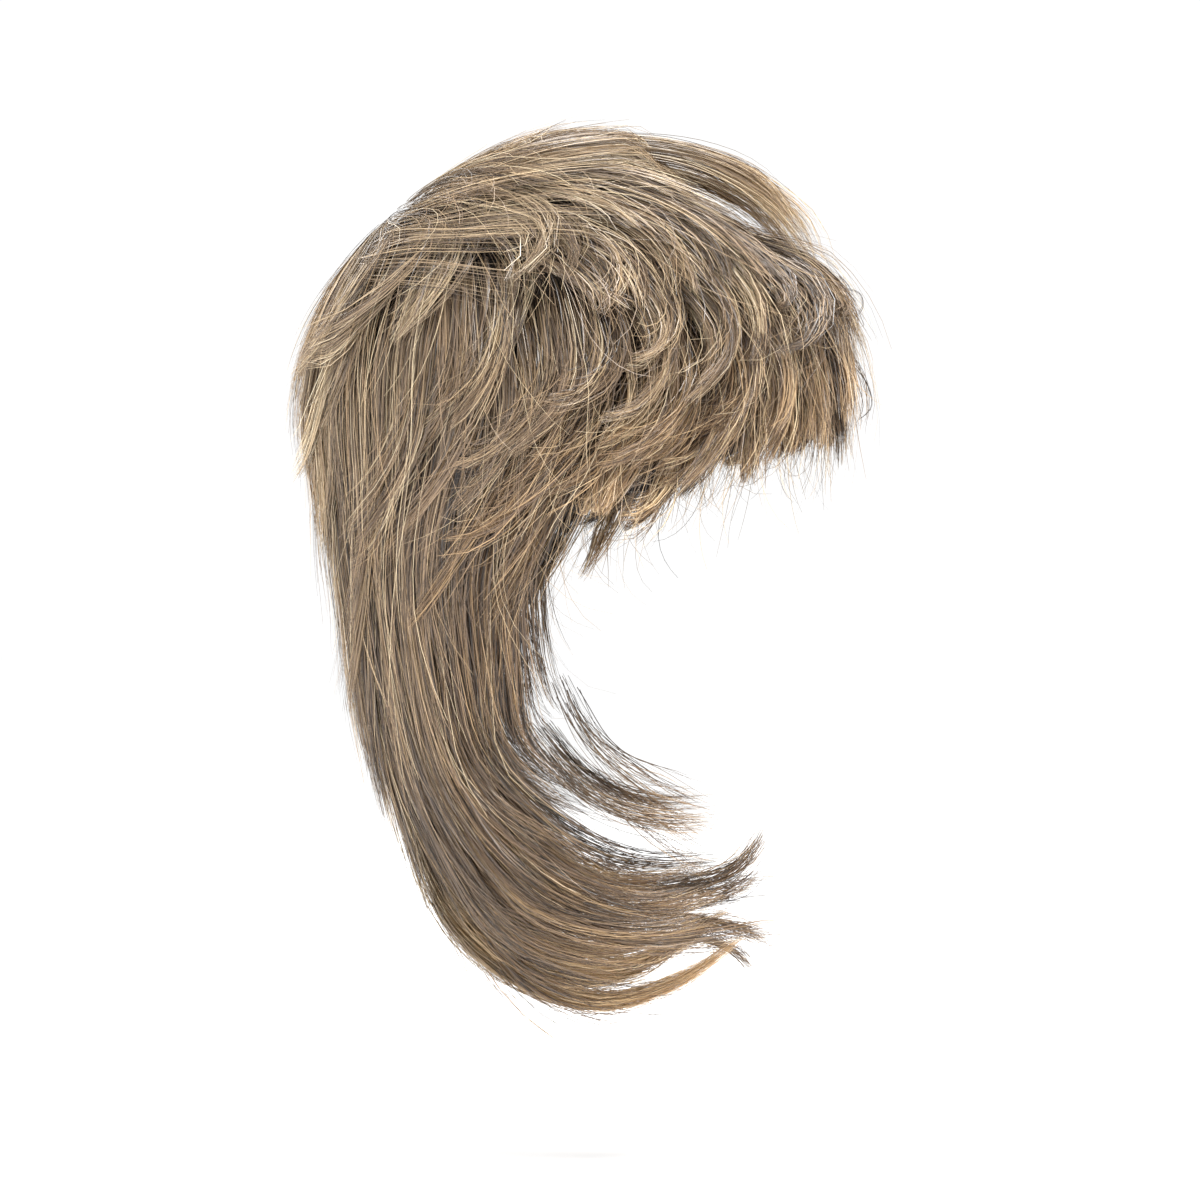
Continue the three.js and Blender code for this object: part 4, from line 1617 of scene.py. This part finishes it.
def mottle_and_painted_shade_group() -> bpy.types.NodeTree:
    """Builds the shader group for the fine unevenness of fibres and for the shade painted at their roots and
    deep in the layers.

    Returns:
        The group: from a strand's place along itself and its tone it makes a factor for its colour.
    """
    tree = bpy.data.node_groups.new("fibre_mottle_and_painted_shade", "ShaderNodeTree")
    tree.interface.new_socket("Along", in_out="INPUT", socket_type="NodeSocketFloat")
    tree.interface.new_socket("Depth", in_out="INPUT", socket_type="NodeSocketFloat")
    tree.interface.new_socket("Root Painted Shade", in_out="INPUT", socket_type="NodeSocketFloat")
    tree.interface.new_socket("Tip Tone And Painted Light", in_out="INPUT", socket_type="NodeSocketFloat")
    tree.interface.new_socket("Depth Painted Shade", in_out="INPUT", socket_type="NodeSocketFloat")
    tree.interface.new_socket("Mottle", in_out="INPUT", socket_type="NodeSocketFloat")
    tree.interface.new_socket("Factor", in_out="OUTPUT", socket_type="NodeSocketFloat")
    bench = ShaderBench(tree)
    inside = bench.node("NodeGroupInput")
    outside = bench.node("NodeGroupOutput")
    place = bench.node("ShaderNodeTexCoord")
    noise = bench.node("ShaderNodeTexNoise")
    noise.inputs["Scale"].default_value = 55.0
    noise.inputs["Detail"].default_value = 3.0
    bench.join(place.outputs["Object"], noise.inputs["Vector"])
    centred = bench.math("SUBTRACT", noise.outputs["Fac"], 0.5)
    mottle = bench.math("MULTIPLY_ADD", centred, inside.outputs["Mottle"])
    mottle.node.inputs[2].default_value = 1.0
    # Painted shade at the roots, which lie covered by the hair above, brightening to the ends: there partly
    # the hair's own lighter ends, partly painted light.
    grown = bench.node("ShaderNodeMapRange", interpolation_type="SMOOTHSTEP")
    bench.join(inside.outputs["Along"], grown.inputs["Value"])
    bench.join(inside.outputs["Root Painted Shade"], grown.inputs["To Min"])
    bench.join(inside.outputs["Tip Tone And Painted Light"], grown.inputs["To Max"])
    # Painted shade: strands deeper in their layer are made darker, as shadow falls on them there.
    painted_depth_shade_map = bench.node("ShaderNodeMapRange")
    bench.join(inside.outputs["Depth"], painted_depth_shade_map.inputs["Value"])
    bench.join(inside.outputs["Depth Painted Shade"], painted_depth_shade_map.inputs["To Min"])
    factor = bench.math("MULTIPLY", grown.outputs["Result"], painted_depth_shade_map.outputs["Result"])
    bench.join(bench.math("MULTIPLY", factor, mottle), outside.inputs["Factor"])
    return tree


def woven_group() -> bpy.types.NodeTree:
    """Builds the shader group for threads that cross at right angles.

    Returns:
        The group: from a pitch it makes a height and a mask of the threads.
    """
    tree = bpy.data.node_groups.new("crossed_threads", "ShaderNodeTree")
    tree.interface.new_socket("Pitch Scale", in_out="INPUT", socket_type="NodeSocketFloat")
    tree.interface.new_socket("Height", in_out="OUTPUT", socket_type="NodeSocketFloat")
    tree.interface.new_socket("Mask", in_out="OUTPUT", socket_type="NodeSocketFloat")
    bench = ShaderBench(tree)
    inside = bench.node("NodeGroupInput")
    outside = bench.node("NodeGroupOutput")
    place = bench.node("ShaderNodeTexCoord")
    heights = []
    for direction in ("X", "Y", "Z"):
        wave = bench.node("ShaderNodeTexWave", bands_direction=direction, wave_profile="SIN")
        wave.inputs["Distortion"].default_value = 0.6
        wave.inputs["Detail Scale"].default_value = 2.0
        bench.join(inside.outputs["Pitch Scale"], wave.inputs["Scale"])
        bench.join(place.outputs["Object"], wave.inputs["Vector"])
        heights.append(wave.outputs["Fac"])
    height = bench.math("MAXIMUM", bench.math("MAXIMUM", heights[0], heights[1]), heights[2])
    bench.join(height, outside.inputs["Height"])
    bench.join(bench.math("GREATER_THAN", height, 0.75), outside.inputs["Mask"])
    return tree


@dataclass(frozen=True)
class HairFinish:
    """The finish of fibre: a range of shades from strand to strand, with painted shade at the roots and deep
    in the layers, and a soft long gloss.

    Attributes:
        name: The material's name.
        shades: The shades from the darkest strand to the lightest, with the tones that have them.
        tip_tone_and_painted_light: Brightness at the ends, of the shades: partly the hair's own lighter ends,
            partly painted light.
        painted_root_shade: Painted shade: the same at the roots, which lie covered by the hair over them.
        painted_depth_shade: Painted shade: brightness of the deepest strands, of the top ones, as if shadowed
            by the hair above.
        roughness: Roughness of the fibre.
        gloss: Level of its specular light.
    """

    name: str
    shades: tuple[tuple[float, int], ...]
    tip_tone_and_painted_light: float
    painted_root_shade: float = 0.42
    painted_depth_shade: float = 0.42
    roughness: float = 0.34
    gloss: float = 0.62

    def build(self, mottle_and_shade: bpy.types.NodeTree) -> bpy.types.Material:
        """Makes the material.

        Args:
            mottle_and_shade: The shader group for the unevenness of fibres and their painted shade.

        Returns:
            The material.
        """
        material = bpy.data.materials.new(self.name)
        material.use_nodes = True
        tree = material.node_tree
        tree.nodes.clear()
        bench = ShaderBench(tree)
        output = bench.node("ShaderNodeOutputMaterial")
        principled = bench.node("ShaderNodeBsdfPrincipled")
        principled.inputs["Roughness"].default_value = self.roughness
        principled.inputs["Specular IOR Level"].default_value = self.gloss
        bench.join(principled.outputs["BSDF"], output.inputs["Surface"])
        tone = bench.node("ShaderNodeAttribute", attribute_name="tone")
        along = bench.node("ShaderNodeAttribute", attribute_name="along")
        depth = bench.node("ShaderNodeAttribute", attribute_name="depth")
        stops = [(place, Shade.hexed(code)) for place, code in self.shades]
        colour = bench.ramp(tone.outputs["Fac"], stops)
        group = bench.node("ShaderNodeGroup")
        group.node_tree = mottle_and_shade
        bench.join(along.outputs["Fac"], group.inputs["Along"])
        bench.join(depth.outputs["Fac"], group.inputs["Depth"])
        group.inputs["Root Painted Shade"].default_value = self.painted_root_shade
        group.inputs["Tip Tone And Painted Light"].default_value = self.tip_tone_and_painted_light
        group.inputs["Depth Painted Shade"].default_value = self.painted_depth_shade
        group.inputs["Mottle"].default_value = 0.35
        mix = bench.node("ShaderNodeMix", data_type="RGBA", blend_type="MULTIPLY")
        mix.inputs["Factor"].default_value = 1.0
        bench.join(colour, mix.inputs["A"])
        bench.join(group.outputs["Factor"], mix.inputs["B"])
        bench.join(mix.outputs["Result"], principled.inputs["Base Color"])
        return material


@dataclass(frozen=True)
class ClothFinish:
    """The finish of net or tape: crossed threads over a darker ground.

    Attributes:
        name: The material's name.
        thread: Colour of the threads.
        ground: Colour between them.
        pitch_scale: How close the threads lie.
        relief: How far they stand out.
        roughness: Roughness of the cloth.
    """

    name: str
    thread: int
    ground: int
    pitch_scale: float
    relief: float
    roughness: float = 0.85

    def build(self, woven: bpy.types.NodeTree) -> bpy.types.Material:
        """Makes the material.

        Args:
            woven: The shader group for crossed threads.

        Returns:
            The material.
        """
        material = bpy.data.materials.new(self.name)
        material.use_nodes = True
        tree = material.node_tree
        tree.nodes.clear()
        bench = ShaderBench(tree)
        output = bench.node("ShaderNodeOutputMaterial")
        principled = bench.node("ShaderNodeBsdfPrincipled")
        principled.inputs["Roughness"].default_value = self.roughness
        principled.inputs["Specular IOR Level"].default_value = 0.25
        principled.inputs["Sheen Weight"].default_value = 0.3
        bench.join(principled.outputs["BSDF"], output.inputs["Surface"])
        group = bench.node("ShaderNodeGroup")
        group.node_tree = woven
        group.inputs["Pitch Scale"].default_value = self.pitch_scale
        mix = bench.node("ShaderNodeMix", data_type="RGBA")
        mix.inputs["A"].default_value = Shade.hexed(self.ground).rgba
        mix.inputs["B"].default_value = Shade.hexed(self.thread).rgba
        bench.join(group.outputs["Height"], mix.inputs["Factor"])
        bench.join(mix.outputs["Result"], principled.inputs["Base Color"])
        bump = bench.node("ShaderNodeBump")
        bump.inputs["Strength"].default_value = 0.6
        bump.inputs["Distance"].default_value = self.relief
        bench.join(group.outputs["Height"], bump.inputs["Height"])
        bench.join(bump.outputs["Normal"], principled.inputs["Normal"])
        return material


@dataclass
class Cap:
    """The net cap and the tape round its edge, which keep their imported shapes.

    Attributes:
        bands: The names of the stretches of tape.
    """

    bands: tuple[str, ...] = ("front_band", "ear_band_left", "nape_band", "ear_band_right")

    def dress(self, nodes: dict[str, bpy.types.Object], finishes: dict[Slot, bpy.types.Material]) -> None:
        """Gives the cap and the tape their materials.

        Args:
            nodes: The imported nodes.
            finishes: The material of each slot.
        """
        for name, slot in [("cap_crown", Slot.NET), *((band, Slot.TAPE) for band in self.bands)]:
            piece = nodes[name]
            piece.data.materials.clear()
            piece.data.materials.append(finishes[slot])
            LOG.info("%s: dressed with %s", name, finishes[slot].name)


@dataclass
class Studio:
    """A pale floor, soft lights and the camera.

    Attributes:
        floor_level: Height of the floor.
        floor_half: Half the side of the floor.
        frame_width: Width of the photograph's frame at the median plane.
        frame_middle: Middle of the frame there, along X and Z.
        distance: Distance of the camera from that plane.
        sensor: Width of the camera's sensor, in millimetres.
    """

    floor_level: float = -0.402
    floor_half: float = 12.0
    frame_width: float = 0.504
    frame_middle: tuple[float, float] = (0.0084, -0.1705)
    distance: float = 1.4
    sensor: float = 36.0

    def build(self) -> None:
        """Makes the floor, the lights and the camera."""
        self._floor()
        self._world()
        self._light("key", (0.4, -1.2, 1.5), 0.5, 31.0)
        self._light("fill", (-1.2, -1.3, 0.1), 1.1, 9.0)
        self._light("top", (0.2, 0.1, 1.5), 0.7, 26.0)
        self._light("back", (-0.6, 1.6, 0.8), 1.0, 12.0)
        self._camera()
        bpy.context.scene.view_settings.view_transform = "Standard"

    def _floor(self) -> None:
        """Makes the floor."""
        half = self.floor_half
        corners = [(x * half, y * half, self.floor_level) for x, y in ((-1, -1), (1, -1), (1, 1), (-1, 1))]
        data = bpy.data.meshes.new("floor")
        data.from_pydata(corners, [], [(0, 1, 2, 3)])
        floor = bpy.data.objects.new("floor", data)
        bpy.context.scene.collection.objects.link(floor)
        material = bpy.data.materials.new("pale_floor")
        material.use_nodes = True
        shader = material.node_tree.nodes["Principled BSDF"]
        shader.inputs["Base Color"].default_value = (0.97, 0.97, 0.97, 1.0)
        shader.inputs["Roughness"].default_value = 0.9
        data.materials.append(material)

    def _world(self) -> None:
        """Makes the even white surroundings."""
        world = bpy.data.worlds.new("studio")
        world.use_nodes = True
        back = world.node_tree.nodes["Background"]
        back.inputs["Color"].default_value = (1.0, 1.0, 1.0, 1.0)
        back.inputs["Strength"].default_value = 1.04
        bpy.context.scene.world = world

    def _light(self, name: str, place: tuple[float, float, float], side: float, power: float) -> None:
        """Adds a square soft light that points at the wig.

        Args:
            name: Its name.
            place: Where it is.
            side: Length of its side.
            power: Its power in watts.
        """
        data = bpy.data.lights.new(name, "AREA")
        data.shape = "SQUARE"
        data.size = side
        data.energy = power
        light = bpy.data.objects.new(name, data)
        light.location = place
        aim = np.array([self.frame_middle[0], 0.0, self.frame_middle[1]]) - np.array(place)
        light.rotation_euler = self._facing(aim)
        bpy.context.scene.collection.objects.link(light)

    @staticmethod
    def _facing(aim: np.ndarray) -> tuple[float, float, float]:
        """Returns the Euler angles that turn -Z to a direction and keep X level."""
        flat = math.hypot(aim[0], aim[1])
        return (math.atan2(flat, -aim[2]), 0.0, math.atan2(aim[1], aim[0]) - math.pi / 2)

    def _camera(self) -> None:
        """Adds the camera, level and square on the wearer's right side."""
        data = bpy.data.cameras.new("camera")
        data.sensor_width = self.sensor
        data.lens = self.sensor * self.distance / self.frame_width
        camera = bpy.data.objects.new("camera", data)
        camera.location = (self.frame_middle[0], -self.distance, self.frame_middle[1])
        camera.rotation_euler = (math.pi / 2, 0.0, 0.0)
        bpy.context.scene.collection.objects.link(camera)
        bpy.context.scene.camera = camera


def build_finishes() -> dict[Slot, bpy.types.Material]:
    """Makes the materials of all slots.

    Returns:
        The material of each slot.
    """
    mottle_and_shade = mottle_and_painted_shade_group()
    woven = woven_group()
    light = ((0.0, 0x42342A), (0.3, 0x836D58), (0.5, 0xAA9275), (0.72, 0xD0B58F), (1.0, 0xF8E6C3))
    middle = ((0.0, 0x3A2D24), (0.3, 0x75604C), (0.5, 0x9B8166), (0.72, 0xC3A57F), (1.0, 0xEED8B2))
    dark = ((0.0, 0x33271D), (0.3, 0x68523E), (0.5, 0x8D7255), (0.72, 0xB7976F), (1.0, 0xE6CDA5))
    return {
        # The last number is the ends' brightness: partly the hair's own lighter ends, partly painted light,
        # most in the dark hair of the shaded tail.
        Slot.LIGHT: HairFinish("hair_ash_blond", light, 1.04).build(mottle_and_shade),
        Slot.MIDDLE: HairFinish("hair_light_brown", middle, 0.99).build(mottle_and_shade),
        Slot.DARK: HairFinish("hair_medium_brown", dark, 1.3).build(mottle_and_shade),
        Slot.NET: ClothFinish("cap_net", 0x3A2E26, 0x16110D, 420.0, 0.35 * MM).build(woven),
        Slot.TAPE: ClothFinish("edge_tape", 0x2C231D, 0x120D0A, 700.0, 0.2 * MM).build(woven),
    }


def main() -> None:
    """Builds the wig and its studio."""
    logging.basicConfig(level=logging.INFO, format="%(name)s: %(message)s")
    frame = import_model()
    finishes = build_finishes()
    Studio().build()
    Cap().dress(frame["nodes"], finishes)
    hair = Coiffure(HeadForm(), Cut(), StrandSize())
    LOG.info("all hair: %d triangles", hair.build(finishes))


if __name__ == "__main__":
    main()
